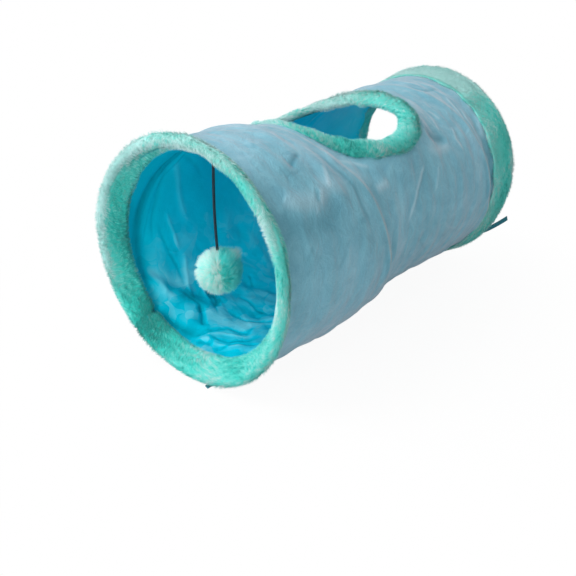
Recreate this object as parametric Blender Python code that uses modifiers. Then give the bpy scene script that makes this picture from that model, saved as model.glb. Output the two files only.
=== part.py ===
"""Cat tunnel: cloth layers on a spring wire, plush rims, a peep hole and a hanging pompom.

Metres, +Z up. The tunnel's axis runs along +Y, the front opening faces -Y. The origin is on the
ground under the middle of the tunnel.
"""
import math

import bmesh
import bpy
from mathutils import Matrix, Vector

# Whole tunnel
TUNNEL_LENGTH = 0.500
RIM_RADIUS = 0.130
REST_CRUSH = 0.002
CLEARANCE = 0.0003
FACET_GAP = 0.0005
OVERRUN = 0.020
ROUND_STEPS = 64
COUNT_SLACK_SHARE = 0.001
POCKET_START_SHARE = 0.5

# Spring wire and its casing
WIRE_DIAMETER = 0.0020
WIRE_INSET = 0.0112
WIRE_PITCH_LENGTH = 0.260
WIRE_TOP_PLACE = 0.114
HOOP_DEPTH = 0.0095
HOOP_STEP = 0.0034
HOOP_END_TURN_SHARE = -510 / 360
HOOP_LEAVE_TURN_SHARE = -182 / 360
HOOP_STEPPED_TURN_SHARE = -152 / 360
HELIX_EASE_TURN_SHARE = -141 / 360
HELIX_START_TURN_SHARE = -108 / 360
CASING_WALL = 0.0006
CASING_GAP = 0.0004
CASING_START_TURN_SHARE = -118 / 360
CRIMP_TURN_SHARE = -147 / 360
CRIMP_LENGTH = 0.008
CRIMP_WALL = 0.0006

# Cloth layers
COVER_THICKNESS = 0.0006
FILM_THICKNESS = 0.0003
LINING_THICKNESS = 0.0005
LAYER_INSET = 0.0160

# Peep hole: a circle in the flat cloth, bent round the tunnel
HOLE_PLACE = -0.0175
HOLE_CUT_RADIUS = 0.088
HOLE_FOLD_ROUND = 0.0060
HOLE_FLAP_WIDTH = 0.0130
HOLE_FLAP_THICKNESS = 0.0036
HOLE_CUTTER_REACH = 0.030
SLOT_STEPS = 8

# Plush end rims: each section is the hull of round rolls
ROLL_RADIUS = 0.0061
FRONT_TAIL_INSET = 0.0126
FRONT_TAIL_DEPTH = 0.0222
REAR_FLAP_THICKNESS = 0.0022
REAR_FLAP_DEPTH = 0.0350
REAR_FLAP_ROUND = 0.0020
REAR_TAIL_INSET = 0.0094
REAR_TAIL_DEPTH = 0.0160
REAR_TAIL_ROUND = 0.0045
POCKET_GAP = 0.0003

# Pompom on its elastic cord
POMPOM_PLACE = 0.0505
POMPOM_DROP = 0.0204
POMPOM_RADIUS = 0.0235
CORD_DIAMETER = 0.0026
TAB_RING_RADIUS = 0.0030
TAB_TAPE_RADIUS = 0.0006
EYE_RING_RADIUS = 0.0032
KNOT_RADIUS = 0.0024

# Ribbon ties
TIE_WIDTH = 0.0060
TIE_THICKNESS = 0.0007
REAR_TIE_TURN_SHARE = 137 / 360
REAR_TIE_SIDE_RUN = 0.022
REAR_TIE_BACK_RUN = 0.0455
REAR_TIE_RISE = 0.015
REAR_TIE_DROOP = 0.0015
FRONT_TIE_SIDE = 0.020
FRONT_TIE_NOSE = 0.0015
FRONT_TIE_LENGTH = 0.0528

# Derived sizes
HALF_LENGTH = TUNNEL_LENGTH / 2
AXIS_HEIGHT = RIM_RADIUS - REST_CRUSH
WIRE_TURN_RADIUS = RIM_RADIUS - WIRE_INSET
CASING_RADIUS = WIRE_DIAMETER / 2 + CASING_GAP + CASING_WALL
COVER_INNER = WIRE_TURN_RADIUS + CASING_RADIUS + CLEARANCE
COVER_OUTER = COVER_INNER + COVER_THICKNESS
FILM_OUTER = WIRE_TURN_RADIUS - CASING_RADIUS - CLEARANCE
FILM_INNER = FILM_OUTER - FILM_THICKNESS
LINING_OUTER = FILM_INNER - CLEARANCE
LINING_INNER = LINING_OUTER - LINING_THICKNESS
NOSE_RADIUS = RIM_RADIUS - ROLL_RADIUS
FRONT_TAIL_RADIUS = NOSE_RADIUS - FRONT_TAIL_INSET
REAR_TAIL_RADIUS = NOSE_RADIUS - REAR_TAIL_INSET
REAR_FLAP_RADIUS = COVER_OUTER + FACET_GAP + REAR_FLAP_THICKNESS - REAR_FLAP_ROUND
CRIMP_RADIUS = WIRE_DIAMETER / 2 + CLEARANCE + CRIMP_WALL
POCKET_HALF_HEIGHT = CRIMP_RADIUS + POCKET_GAP
POCKET_DEPTH = HOOP_DEPTH - CRIMP_RADIUS - CLEARANCE - POCKET_GAP
HOLE_FOLD_RADIUS = HOLE_CUT_RADIUS + CLEARANCE
HOLE_FLAP_RADIUS = HOLE_CUT_RADIUS + HOLE_FLAP_WIDTH
FULL_TURN = 2 * math.pi

MINT = (0.44, 0.80, 0.72, 1.0)
DUSTY_BLUE = (0.36, 0.58, 0.67, 1.0)
CYAN = (0.01, 0.45, 0.62, 1.0)


def clear_scene():
    for old in list(bpy.data.objects):
        bpy.data.objects.remove(old, do_unlink=True)


def new_collection(name):
    made = bpy.data.collections.new(name)
    bpy.context.scene.collection.children.link(made)
    return made


def material(name, colour, roughness, metallic=0.0):
    made = bpy.data.materials.new(name)
    made.use_nodes = True
    shader = made.node_tree.nodes["Principled BSDF"]
    shader.inputs["Base Color"].default_value = colour
    shader.inputs["Roughness"].default_value = roughness
    shader.inputs["Metallic"].default_value = metallic
    return made


def add_object(name, data, collection, finish=None):
    made = bpy.data.objects.new(name, data)
    collection.objects.link(made)
    if finish is not None:
        data.materials.append(finish)
    return made


def mesh_from(bm, name):
    bmesh.ops.recalc_face_normals(bm, faces=bm.faces)
    data = bpy.data.meshes.new(name)
    bm.to_mesh(data)
    bm.free()
    return data


def as_mesh(source, name):
    """The evaluated object as a plain mesh object in the same place, with its caps welded."""
    depsgraph = bpy.context.evaluated_depsgraph_get()
    data = bpy.data.meshes.new_from_object(source.evaluated_get(depsgraph))
    bm = bmesh.new()
    bm.from_mesh(data)
    bmesh.ops.remove_doubles(bm, verts=bm.verts, dist=CLEARANCE / 10)
    bmesh.ops.recalc_face_normals(bm, faces=bm.faces)
    bm.to_mesh(data)
    bm.free()
    place = source.matrix_world.copy()
    owners = list(source.users_collection)
    bpy.data.objects.remove(source, do_unlink=True)
    data.name = name
    made = bpy.data.objects.new(name, data)
    made.matrix_world = place
    for collection in owners:
        collection.objects.link(made)
    return made


def smooth(target, angle=math.radians(40)):
    target.data.shade_smooth()
    target.data.set_sharp_from_angle(angle=angle)


def cut(target, cutter):
    step = target.modifiers.new("cut_" + cutter.name, "BOOLEAN")
    step.operation = "DIFFERENCE"
    step.solver = "EXACT"
    step.object = cutter


def weld_slivers(target):
    step = target.modifiers.new("weld", "WELD")
    step.merge_threshold = CLEARANCE / 10


def hide_cutter(cutter):
    cutter.hide_render = True
    cutter.display_type = "WIRE"


def turned(name, outline, collection, finish=None, start_share=0):
    """A closed outline of (radius, place along Y) turned round the tunnel's axis.

    start_share of one angular step sets where the first facet starts.
    """
    bm = bmesh.new()
    ring = [bm.verts.new((radius, 0, place)) for radius, place in outline]
    for start, end in zip(ring, ring[1:] + ring[:1]):
        bm.edges.new((start, end))
    data = bpy.data.meshes.new(name)
    bm.to_mesh(data)
    bm.free()
    made = add_object(name, data, collection, finish)
    screw = made.modifiers.new("turn", "SCREW")
    screw.steps = ROUND_STEPS
    screw.render_steps = ROUND_STEPS
    screw.use_merge_vertices = True
    screw.merge_threshold = CLEARANCE / 10
    solid = as_mesh(made, name)
    solid.data.transform(Matrix.Rotation(FULL_TURN * start_share / ROUND_STEPS, 4, "Z"))
    solid.data.transform(Matrix.Rotation(-math.pi / 2, 4, "X"))
    solid.location = (0, 0, AXIS_HEIGHT)
    return solid


def hull_outline(rolls, count):
    """Points round the hull of discs (radius from axis, place, disc radius)."""
    points = []
    for step in range(count):
        turn = FULL_TURN * (step + 0.5) / count
        way = Vector((math.cos(turn), math.sin(turn)))
        best = max(rolls, key=lambda roll: roll[0] * way.x + roll[1] * way.y + roll[2])
        points.append((best[0] + best[2] * way.x, best[1] + best[2] * way.y))
    return points


def box_between(name, low, high, collection):
    bpy.ops.mesh.primitive_cube_add(size=1)
    made = bpy.context.object
    made.name = name
    for owner in list(made.users_collection):
        owner.objects.unlink(made)
    collection.objects.link(made)
    low = Vector(low)
    high = Vector(high)
    made.data.transform(Matrix.Translation((low + high) / 2) @ Matrix.Diagonal(high - low).to_4x4())
    return made


def wrap_round_tunnel(target, place):
    """Bends a flat solid at the origin round the tunnel: X becomes arc, Z stands on the wire's radius."""
    for vertex in target.data.vertices:
        arc = vertex.co.x / WIRE_TURN_RADIUS
        radius = WIRE_TURN_RADIUS + vertex.co.z
        vertex.co = (radius * math.sin(arc), place + vertex.co.y,
                     AXIS_HEIGHT + radius * math.cos(arc))


def wire_place(turns):
    """Place along Y of the wire, for turns counted from the tunnel's top towards +X."""
    if turns <= HOOP_STEPPED_TURN_SHARE:
        span = HOOP_STEPPED_TURN_SHARE - HOOP_LEAVE_TURN_SHARE
        share = max(0, (turns - HOOP_LEAVE_TURN_SHARE) / span)
        return HOOP_DEPTH + HOOP_STEP * (3 * share ** 2 - 2 * share ** 3) - HALF_LENGTH
    if turns <= HELIX_EASE_TURN_SHARE:
        return HOOP_DEPTH + HOOP_STEP - HALF_LENGTH
    if turns < HELIX_START_TURN_SHARE:
        span = HELIX_START_TURN_SHARE - HELIX_EASE_TURN_SHARE
        share = (turns - HELIX_EASE_TURN_SHARE) / span
        low = HOOP_DEPTH + HOOP_STEP
        rise = WIRE_TOP_PLACE + WIRE_PITCH_LENGTH * HELIX_START_TURN_SHARE - low
        slope = WIRE_PITCH_LENGTH * span
        eased = rise * (3 * share ** 2 - 2 * share ** 3) + slope * (share ** 3 - share ** 2)
        return low + eased - HALF_LENGTH
    return WIRE_TOP_PLACE + WIRE_PITCH_LENGTH * turns - HALF_LENGTH


def mirrored_turns():
    """Turn count at which the rear half of the wire repeats the front half, end for end."""
    return 2 * (HALF_LENGTH - WIRE_TOP_PLACE) / WIRE_PITCH_LENGTH


def wire_point(turns):
    total = mirrored_turns()
    if turns > total / 2:
        place = -wire_place(total - turns)
    else:
        place = wire_place(turns)
    turn = FULL_TURN * turns
    return Vector((WIRE_TURN_RADIUS * math.sin(turn), place,
                   AXIS_HEIGHT + WIRE_TURN_RADIUS * math.cos(turn)))


def turn_points(first, last):
    """Points from one turn count to another, on the cloth layers' own angular steps."""
    low = math.ceil(first * ROUND_STEPS + COUNT_SLACK_SHARE)
    high = math.floor(last * ROUND_STEPS - COUNT_SLACK_SHARE)
    counts = [first] + [step / ROUND_STEPS for step in range(low, high + 1)] + [last]
    return [wire_point(turns) for turns in counts]


def tube(name, points, radius, collection, finish, sides_level=2, caps=True):
    data = bpy.data.curves.new(name, "CURVE")
    data.dimensions = "3D"
    data.bevel_depth = radius
    data.bevel_resolution = sides_level
    data.use_fill_caps = caps
    line = data.splines.new("POLY")
    line.points.add(len(points) - 1)
    for target, point in zip(line.points, points):
        target.co = (*point, 1)
    return add_object(name, data, collection, finish)


def least_self_gap(points, thickness, skip_length):
    """Least distance between two stretches of one tube that are apart along it."""
    travelled = [0.0]
    for start, end in zip(points, points[1:]):
        travelled.append(travelled[-1] + (end - start).length)
    least = TUNNEL_LENGTH
    for first, one in enumerate(points):
        for second in range(first + 1, len(points)):
            if travelled[second] - travelled[first] > skip_length:
                least = min(least, (points[second] - one).length)
    return least - thickness


def make_layers(parts, cutters, finishes):
    end = HALF_LENGTH - LAYER_INSET
    sizes = {"outer_cover": (COVER_INNER, COVER_OUTER), "crinkle_film": (FILM_INNER, FILM_OUTER),
             "lining": (LINING_INNER, LINING_OUTER)}
    reach = HOLE_CUTTER_REACH
    band = HOLE_FLAP_THICKNESS
    wall = [(0, -reach), (HOLE_CUT_RADIUS, -reach), (HOLE_CUT_RADIUS, -band), (HOLE_CUT_RADIUS, 0),
            (HOLE_CUT_RADIUS, band), (HOLE_CUT_RADIUS, reach), (0, reach)]
    hole = flat_ring("hole_cutter", wall, cutters, None, closed=False)
    wrap_round_tunnel(hole, HOLE_PLACE)
    hide_cutter(hole)
    for name, (inner, outer) in sizes.items():
        outline = [(inner, end), (outer, end), (outer, -end), (inner, -end)]
        layer = turned(name, outline, parts, finishes[name])
        cut(layer, hole)
        smooth(layer)


def make_rims(parts, cutters, finishes):
    bottom = -OVERRUN
    ground = box_between("ground_cutter", (-RIM_RADIUS, -TUNNEL_LENGTH, bottom),
                         (RIM_RADIUS, TUNNEL_LENGTH, 0), cutters)
    hide_cutter(ground)
    groove_side = TIE_WIDTH / 2 + CLEARANCE
    groove = box_between("tie_groove_cutter",
                         (FRONT_TIE_SIDE - groove_side, -HALF_LENGTH - OVERRUN, bottom),
                         (FRONT_TIE_SIDE + groove_side, -HALF_LENGTH + FRONT_TIE_LENGTH + OVERRUN,
                          TIE_THICKNESS + 2 * CLEARANCE), cutters)
    hide_cutter(groove)
    rolls = {
        "front_rim": (-1, [(NOSE_RADIUS, ROLL_RADIUS, ROLL_RADIUS),
                           (FRONT_TAIL_RADIUS, FRONT_TAIL_DEPTH, ROLL_RADIUS)]),
        "rear_rim": (1, [(NOSE_RADIUS, ROLL_RADIUS, ROLL_RADIUS),
                         (REAR_FLAP_RADIUS, REAR_FLAP_DEPTH, REAR_FLAP_ROUND),
                         (REAR_TAIL_RADIUS, REAR_TAIL_DEPTH, REAR_TAIL_ROUND)]),
    }
    slot_depth = LAYER_INSET - CLEARANCE
    slot_inner = LINING_INNER - FACET_GAP
    slot_outer = COVER_OUTER + FACET_GAP
    slot = [(slot_inner, slot_depth), (WIRE_TURN_RADIUS - POCKET_HALF_HEIGHT, slot_depth),
            (WIRE_TURN_RADIUS - POCKET_HALF_HEIGHT, POCKET_DEPTH),
            (WIRE_TURN_RADIUS + POCKET_HALF_HEIGHT, POCKET_DEPTH),
            (WIRE_TURN_RADIUS + POCKET_HALF_HEIGHT, slot_depth),
            (slot_outer, slot_depth), (slot_outer, REAR_FLAP_DEPTH + OVERRUN),
            (slot_inner, REAR_FLAP_DEPTH + OVERRUN)]
    for name, (side, discs) in rolls.items():
        outline = [(radius, side * (HALF_LENGTH - depth)) for radius, depth in hull_outline(discs, 18)]
        rim = turned(name, outline, parts, finishes["plush"])
        pocket = turned(name + "_slot_cutter", [(radius, side * (HALF_LENGTH - depth))
                                                for radius, depth in slot], cutters,
                        start_share=POCKET_START_SHARE)
        hide_cutter(pocket)
        cut(rim, pocket)
        cut(rim, ground)
        if name == "front_rim":
            cut(rim, groove)
        weld_slivers(rim)
        smooth(rim)


def make_hole_rim(parts, cutters, finish):
    inner_flap = LINING_INNER - CLEARANCE - WIRE_TURN_RADIUS - HOLE_FLAP_THICKNESS / 2
    outer_flap = COVER_OUTER + CLEARANCE - WIRE_TURN_RADIUS + HOLE_FLAP_THICKNESS / 2
    middle = (inner_flap + outer_flap) / 2
    discs = [(HOLE_FOLD_RADIUS, middle, HOLE_FOLD_ROUND),
             (HOLE_FLAP_RADIUS, inner_flap, HOLE_FLAP_THICKNESS / 2),
             (HOLE_FLAP_RADIUS, outer_flap, HOLE_FLAP_THICKNESS / 2)]
    slot_low = LINING_INNER - CLEARANCE - WIRE_TURN_RADIUS
    slot_high = COVER_OUTER + CLEARANCE * 1.5 - WIRE_TURN_RADIUS
    slot_start = HOLE_CUT_RADIUS - CLEARANCE
    slot_end = HOLE_FLAP_RADIUS + OVERRUN
    reaches = [slot_start + (slot_end - slot_start) * step / SLOT_STEPS for step in range(SLOT_STEPS + 1)]
    slot = [(reach, slot_low) for reach in reaches] + [(reach, slot_high) for reach in reversed(reaches)]
    rim = flat_ring("hole_rim", hull_outline(discs, 16), parts, finish)
    groove = flat_ring("hole_slot_cutter", slot, cutters, None)
    hide_cutter(groove)
    cut(rim, groove)
    rim = as_mesh(rim, "hole_rim")
    bpy.data.objects.remove(groove, do_unlink=True)
    wrap_round_tunnel(rim, HOLE_PLACE)
    weld_slivers(rim)
    smooth(rim)


def flat_ring(name, outline, collection, finish, closed=True):
    """An outline of (radius, height) turned round Z at the origin."""
    bm = bmesh.new()
    ring = [bm.verts.new((radius, 0, height)) for radius, height in outline]
    ends = ring[1:] + ring[:1] if closed else ring[1:]
    for start, end in zip(ring, ends):
        bm.edges.new((start, end))
    data = bpy.data.meshes.new(name)
    bm.to_mesh(data)
    bm.free()
    made = add_object(name, data, collection, finish)
    screw = made.modifiers.new("turn", "SCREW")
    screw.steps = ROUND_STEPS
    screw.render_steps = ROUND_STEPS
    screw.use_merge_vertices = True
    screw.merge_threshold = CLEARANCE / 10
    return as_mesh(made, name)


def make_wire(parts, finishes):
    total = mirrored_turns()
    path = turn_points(HOOP_END_TURN_SHARE, total - HOOP_END_TURN_SHARE)
    tube("spring_wire", path, WIRE_DIAMETER / 2, parts, finishes["steel"], 1)
    gap = least_self_gap(path, WIRE_DIAMETER, WIRE_TURN_RADIUS)
    print("least gap of the spring wire to itself, mm:", round(gap * 1000, 2))
    casing_path = turn_points(CASING_START_TURN_SHARE, total - CASING_START_TURN_SHARE)
    casing = tube("wire_casing", casing_path, CASING_RADIUS, parts, finishes["tape"], 1, caps=False)
    wall = casing.modifiers.new("wall", "SOLIDIFY")
    wall.thickness = CASING_WALL
    wall.offset = -1
    for name, side in (("front_crimp", 0), ("rear_crimp", 1)):
        make_crimp(name, side, parts, finishes["steel"])


def stadium(half_gap, radius, steps=8):
    points = []
    for end, sign in ((half_gap, 1), (-half_gap, -1)):
        for step in range(steps + 1):
            turn = math.pi * (step / steps - 0.5)
            points.append(Vector((end + sign * radius * math.cos(turn), sign * radius * math.sin(turn), 0)))
    return points


def make_crimp(name, side, parts, finish):
    """Flattened sleeve round the wire's end and the passing wire, lying along the wire."""
    total = mirrored_turns()
    ends = [CRIMP_TURN_SHARE, CRIMP_TURN_SHARE - 1]
    if side:
        ends = [total - turns for turns in ends]
    one, other = [wire_point(turns) for turns in ends]
    middle = (one + other) / 2
    half_gap = (one - other).length / 2
    data = bpy.data.curves.new(name, "CURVE")
    data.dimensions = "2D"
    data.fill_mode = "BOTH"
    data.extrude = CRIMP_LENGTH / 2
    for radius in (CRIMP_RADIUS, CRIMP_RADIUS - CRIMP_WALL):
        points = stadium(half_gap + CLEARANCE, radius)
        line = data.splines.new("POLY")
        line.points.add(len(points) - 1)
        for target, point in zip(line.points, points):
            target.co = (*point, 1)
        line.use_cyclic_u = True
    made = add_object(name, data, parts, finish)
    across = (one - other).normalized()
    outward = Vector((middle.x, 0, middle.z - AXIS_HEIGHT)).normalized()
    outward = (outward - across * outward.dot(across)).normalized()
    along = across.cross(outward)
    turn = Matrix((across, outward, along)).transposed().to_4x4()
    made.matrix_world = Matrix.Translation(middle) @ turn
    solid = as_mesh(made, name)
    smooth(solid)


def ring_link(name, major, minor, centre, axis, parts, finish, steps=24, sides=10):
    bpy.ops.mesh.primitive_torus_add(major_radius=major, minor_radius=minor,
                                     major_segments=steps, minor_segments=sides)
    return settle(bpy.context.object, name, centre, axis, parts, finish)


def ball(name, radius, centre, parts, finish, detail=3):
    bpy.ops.mesh.primitive_ico_sphere_add(subdivisions=detail, radius=radius)
    return settle(bpy.context.object, name, centre, "Z", parts, finish)


def settle(made, name, centre, axis, parts, finish):
    made.name = name
    made.data.name = name
    for owner in list(made.users_collection):
        owner.objects.unlink(made)
    parts.objects.link(made)
    quarter = {"X": Matrix.Rotation(math.pi / 2, 4, "Y"), "Y": Matrix.Rotation(math.pi / 2, 4, "X"),
               "Z": Matrix.Identity(4)}[axis]
    made.data.transform(quarter)
    made.location = centre
    made.data.materials.append(finish)
    smooth(made)
    return made


def make_pompom(parts, cutters, finishes):
    place = POMPOM_PLACE - HALF_LENGTH
    cord_radius = CORD_DIAMETER / 2
    tab_top = AXIS_HEIGHT + LINING_INNER * math.cos(math.pi / ROUND_STEPS) - CLEARANCE
    tab_centre = tab_top - TAB_RING_RADIUS - TAB_TAPE_RADIUS
    tab_low = tab_centre - TAB_RING_RADIUS
    eye_top = tab_low + TAB_TAPE_RADIUS + CLEARANCE + cord_radius
    eye_centre = eye_top - EYE_RING_RADIUS
    eye_low = eye_centre - EYE_RING_RADIUS
    knot_centre = eye_low - cord_radius - CLEARANCE - KNOT_RADIUS
    cord_top = knot_centre - KNOT_RADIUS - CLEARANCE
    ball_centre = AXIS_HEIGHT - POMPOM_DROP
    cord_low = ball_centre + KNOT_RADIUS + CLEARANCE

    ring_link("pompom_tab", TAB_RING_RADIUS, TAB_TAPE_RADIUS, (0, place, tab_centre), "X", parts,
              finishes["ribbon"])
    ring_link("cord_eye", EYE_RING_RADIUS, cord_radius, (0, place, eye_centre), "Y", parts,
              finishes["cord"])
    ball("eye_knot", KNOT_RADIUS, (0, place, knot_centre), parts, finishes["cord"], 2)
    ball("end_knot", KNOT_RADIUS, (0, place, ball_centre), parts, finishes["cord"], 2)

    steps = 16
    points = [Vector((0, place, cord_top + (cord_low - cord_top) * step / steps))
              for step in range(steps + 1)]
    tube("pompom_cord", points, cord_radius, parts, finishes["cord"])

    pompom = ball("pompom", POMPOM_RADIUS, (0, place, ball_centre), parts, finishes["plush"], 4)
    bore_radius = cord_radius + CLEARANCE
    profile = [(0, -KNOT_RADIUS - CLEARANCE)]
    chamber = KNOT_RADIUS + CLEARANCE
    neck = math.asin(bore_radius / chamber)
    count = 8
    for step in range(1, count + 1):
        turn = math.pi - (math.pi - neck) * step / count
        profile.append((chamber * math.sin(turn), chamber * math.cos(turn)))
    profile.append((bore_radius, POMPOM_RADIUS + OVERRUN))
    profile.append((0, POMPOM_RADIUS + OVERRUN))
    bm = bmesh.new()
    line = [bm.verts.new((radius, 0, height)) for radius, height in reversed(profile)]
    for start, end in zip(line, line[1:]):
        bm.edges.new((start, end))
    bmesh.ops.spin(bm, geom=bm.verts[:] + bm.edges[:], cent=(0, 0, 0), axis=(0, 0, 1),
                   angle=FULL_TURN, steps=16, use_merge=True)
    bmesh.ops.remove_doubles(bm, verts=bm.verts, dist=CLEARANCE / 10)
    bore = add_object("pompom_bore_cutter", mesh_from(bm, "pompom_bore_cutter"), cutters)
    bore.location = pompom.location
    hide_cutter(bore)
    cut(pompom, bore)


def ribbon(name, points, ways, parts, finish):
    """A flat strip of the tie's width and thickness along the points, one way across for each point."""
    bm = bmesh.new()
    bmesh.ops.create_grid(bm, x_segments=len(points) - 1, y_segments=1, size=1)
    rows = sorted(bm.verts, key=lambda vertex: (round(vertex.co.x, 5), vertex.co.y))
    for index, vertex in enumerate(rows):
        side = 1 if index % 2 else -1
        vertex.co = points[index // 2] + ways[index // 2] * (side * TIE_WIDTH / 2)
    data = bpy.data.meshes.new(name)
    bm.to_mesh(data)
    bm.free()
    made = add_object(name, data, parts, finish)
    wall = made.modifiers.new("thickness", "SOLIDIFY")
    wall.thickness = TIE_THICKNESS
    wall.offset = 0
    return made


def make_ties(parts, finish):
    steps = 12
    low = TIE_THICKNESS / 2 + CLEARANCE / 3
    front_y = FRONT_TIE_NOSE - HALF_LENGTH
    back_y = front_y + FRONT_TIE_LENGTH
    lying = [Vector((FRONT_TIE_SIDE, back_y + (front_y - back_y) * step / steps, low))
             for step in range(steps + 1)]
    ribbon("front_tie", lying, [Vector((1, 0, 0))] * len(lying), parts, finish)
    turn = FULL_TURN * REAR_TIE_TURN_SHARE
    outward = Vector((math.sin(turn), 0, math.cos(turn)))
    root = outward * NOSE_RADIUS + Vector((0, HALF_LENGTH + CLEARANCE * 2, AXIS_HEIGHT))
    run = Vector((REAR_TIE_SIDE_RUN, REAR_TIE_BACK_RUN, REAR_TIE_RISE))
    sewn = outward.cross(Vector((0, 1, 0)))
    free = run.cross(outward).normalized()
    hanging = []
    ways = []
    for step in range(steps + 1):
        share = step / steps
        drop = REAR_TIE_DROOP * 4 * share * (share - 1)
        hanging.append(root + run * share + Vector((0, 0, drop)))
        ways.append(sewn.lerp(free if sewn.dot(free) > 0 else -free, share).normalized())
    ribbon("rear_tie", hanging, ways, parts, finish)


def build():
    clear_scene()
    parts = new_collection("cat_tunnel")
    cutters = new_collection("cutters")
    finishes = {
        "outer_cover": material("suede_cloth", DUSTY_BLUE, 0.9),
        "crinkle_film": material("crinkle_film", (0.85, 0.88, 0.90, 1.0), 0.3),
        "lining": material("satin_lining", CYAN, 0.45),
        "plush": material("mint_plush", MINT, 1.0),
        "steel": material("spring_steel", (0.6, 0.6, 0.62, 1.0), 0.35, 1.0),
        "tape": material("casing_tape", (0.9, 0.9, 0.88, 1.0), 0.9),
        "cord": material("elastic_cord", (0.02, 0.04, 0.06, 1.0), 0.7),
        "ribbon": material("tie_ribbon", (0.02, 0.28, 0.36, 1.0), 0.6),
    }
    make_layers(parts, cutters, finishes)
    make_rims(parts, cutters, finishes)
    make_hole_rim(parts, cutters, finishes["plush"])
    make_wire(parts, finishes)
    make_pompom(parts, cutters, finishes)
    make_ties(parts, finishes["ribbon"])


build()
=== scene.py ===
"""Looks of the cat tunnel: suede-like cover, satin lining, plush rims, peep hole binding and pompom."""

import math

import bpy
import numpy as np
from mathutils import Matrix, Vector

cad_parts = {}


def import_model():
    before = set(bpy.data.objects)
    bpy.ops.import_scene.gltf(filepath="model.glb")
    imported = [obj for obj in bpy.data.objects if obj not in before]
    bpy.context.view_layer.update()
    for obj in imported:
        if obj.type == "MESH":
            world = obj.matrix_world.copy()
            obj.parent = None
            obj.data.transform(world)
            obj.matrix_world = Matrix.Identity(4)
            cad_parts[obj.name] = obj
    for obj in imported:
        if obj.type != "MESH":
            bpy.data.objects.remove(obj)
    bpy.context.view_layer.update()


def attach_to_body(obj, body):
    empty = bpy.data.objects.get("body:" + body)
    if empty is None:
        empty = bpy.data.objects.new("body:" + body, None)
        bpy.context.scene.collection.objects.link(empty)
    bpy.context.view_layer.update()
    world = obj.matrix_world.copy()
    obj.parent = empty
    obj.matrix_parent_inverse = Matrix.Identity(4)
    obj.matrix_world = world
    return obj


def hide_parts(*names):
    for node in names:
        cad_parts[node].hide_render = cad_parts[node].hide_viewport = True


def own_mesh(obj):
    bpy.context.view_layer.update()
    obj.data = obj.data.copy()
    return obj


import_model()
scene = bpy.context.scene
TURN = 2 * math.pi

# Camera
AZIMUTH, ELEVATION = math.radians(38.49), math.radians(25.19)
EYE = Vector((0.4748, -0.6819, 0.4072))
back = Vector((math.sin(AZIMUTH) * math.cos(ELEVATION), -math.cos(AZIMUTH) * math.cos(ELEVATION),
               math.sin(ELEVATION)))
right = Vector((math.cos(AZIMUTH), math.sin(AZIMUTH), 0))
lens = bpy.data.cameras.new("camera")
lens.lens, lens.sensor_width = 44.95, 36
camera = bpy.data.objects.new("camera", lens)
facing = Matrix((right, back.cross(right), back)).transposed().to_4x4()
camera.matrix_world = Matrix.Translation(EYE) @ facing
scene.collection.objects.link(camera)
scene.camera = camera

# Shape of the tunnel
AXIS = 0.1305          # height of the tunnel's axis over the ground
HALF = 0.250           # half of the tunnel's length
WIRE_R = 0.1188        # radius of the helix
WIRE_START = 0.114     # where the wire first passes the top, from the front end
PITCH = 0.26           # length of one turn of the helix
SKIN_R = 0.1217        # radius of the cover over its ends
HOLE_Y = -0.0175       # middle of the peep hole
HOLE_CUT = 0.088       # radius of the hole in the cloths
ANCHOR = (0, -0.2217, 0)


def smooth(x):
    x = np.clip(x, 0, 1)
    return x * x * (3 - 2 * x)


def hump(x, half):
    """1 at 0, falling off within a half width."""
    return np.exp(-(x / half) ** 2)


def unit(v):
    return v / np.maximum(np.linalg.norm(v, axis=-1, keepdims=True), 1e-9)


def lengths(path):
    """Length along a path up to each of its points."""
    return np.concatenate([[0], np.cumsum(np.linalg.norm(np.diff(path, axis=0), axis=1))])


def wrapped(angle):
    """An angle from minus half a turn to half a turn."""
    return (angle + math.pi) % TURN - math.pi


def press(z):
    """Heights near the ground, held above it."""
    return 0.5 * (z + np.sqrt(z * z + 0.0012 ** 2))


def warp(theta, y, radius):
    """Angle from the top towards +X, place and radius, to points of the slightly crushed tunnel."""
    theta, y, radius = np.broadcast_arrays(theta, y, radius)
    a = math.pi / 2 - theta
    front = (-0.005 * np.cos(2 * a) + 0.022 * np.sin(2 * a)
             - 0.012 * np.cos(3 * a) + 0.001 * np.sin(3 * a))
    rear = (-0.025 * np.cos(2 * a) - 0.014 * np.sin(2 * a)
            + 0.007 * np.cos(3 * a) + 0.008 * np.sin(3 * a))
    at_front, at_rear = smooth((-y - 0.10) / 0.12), smooth((y - 0.08) / 0.13)
    r = radius * (1 + at_front * front + at_rear * rear)
    x, z = r * np.sin(theta), r * np.cos(theta)
    y = y + at_front * (-0.037 * z - 0.002 * x) + at_rear * (0.016 * z - 0.048 * x)
    return np.stack([x, y, press(z + AXIS)], -1)


def waves(theta, y, seed, turns, lengths, count=24):
    """Smooth noise over the tube, about -1 to 1: turns are cycles round it, lengths the span along it."""
    pick = np.random.default_rng(seed)
    total = np.zeros(np.broadcast(theta, y).shape)
    for _ in range(count):
        m = pick.integers(turns[0], turns[1] + 1) * pick.choice((-1, 1))
        n = TURN / pick.uniform(*lengths)
        total = total + np.cos(m * theta + n * y + pick.uniform(0, 6.283))
    return total / math.sqrt(count / 2) / 1.6


def ring_table(pairs):
    """A smooth closed curve through (angle in degrees, value) pairs, as a function of radians."""
    angles, values = np.array(sorted(pairs)).T
    grid = np.arange(360.0)
    raw = np.interp(grid, angles % 360, values, period=360)
    kernel = np.exp(-0.5 * (np.arange(-18, 19) / 6.0) ** 2)
    kernel /= kernel.sum()
    soft = np.convolve(np.concatenate([raw[-18:], raw, raw[:18]]), kernel, "valid")
    return lambda phi: np.interp(np.degrees(phi) % 360, grid, soft, period=360)


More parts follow.
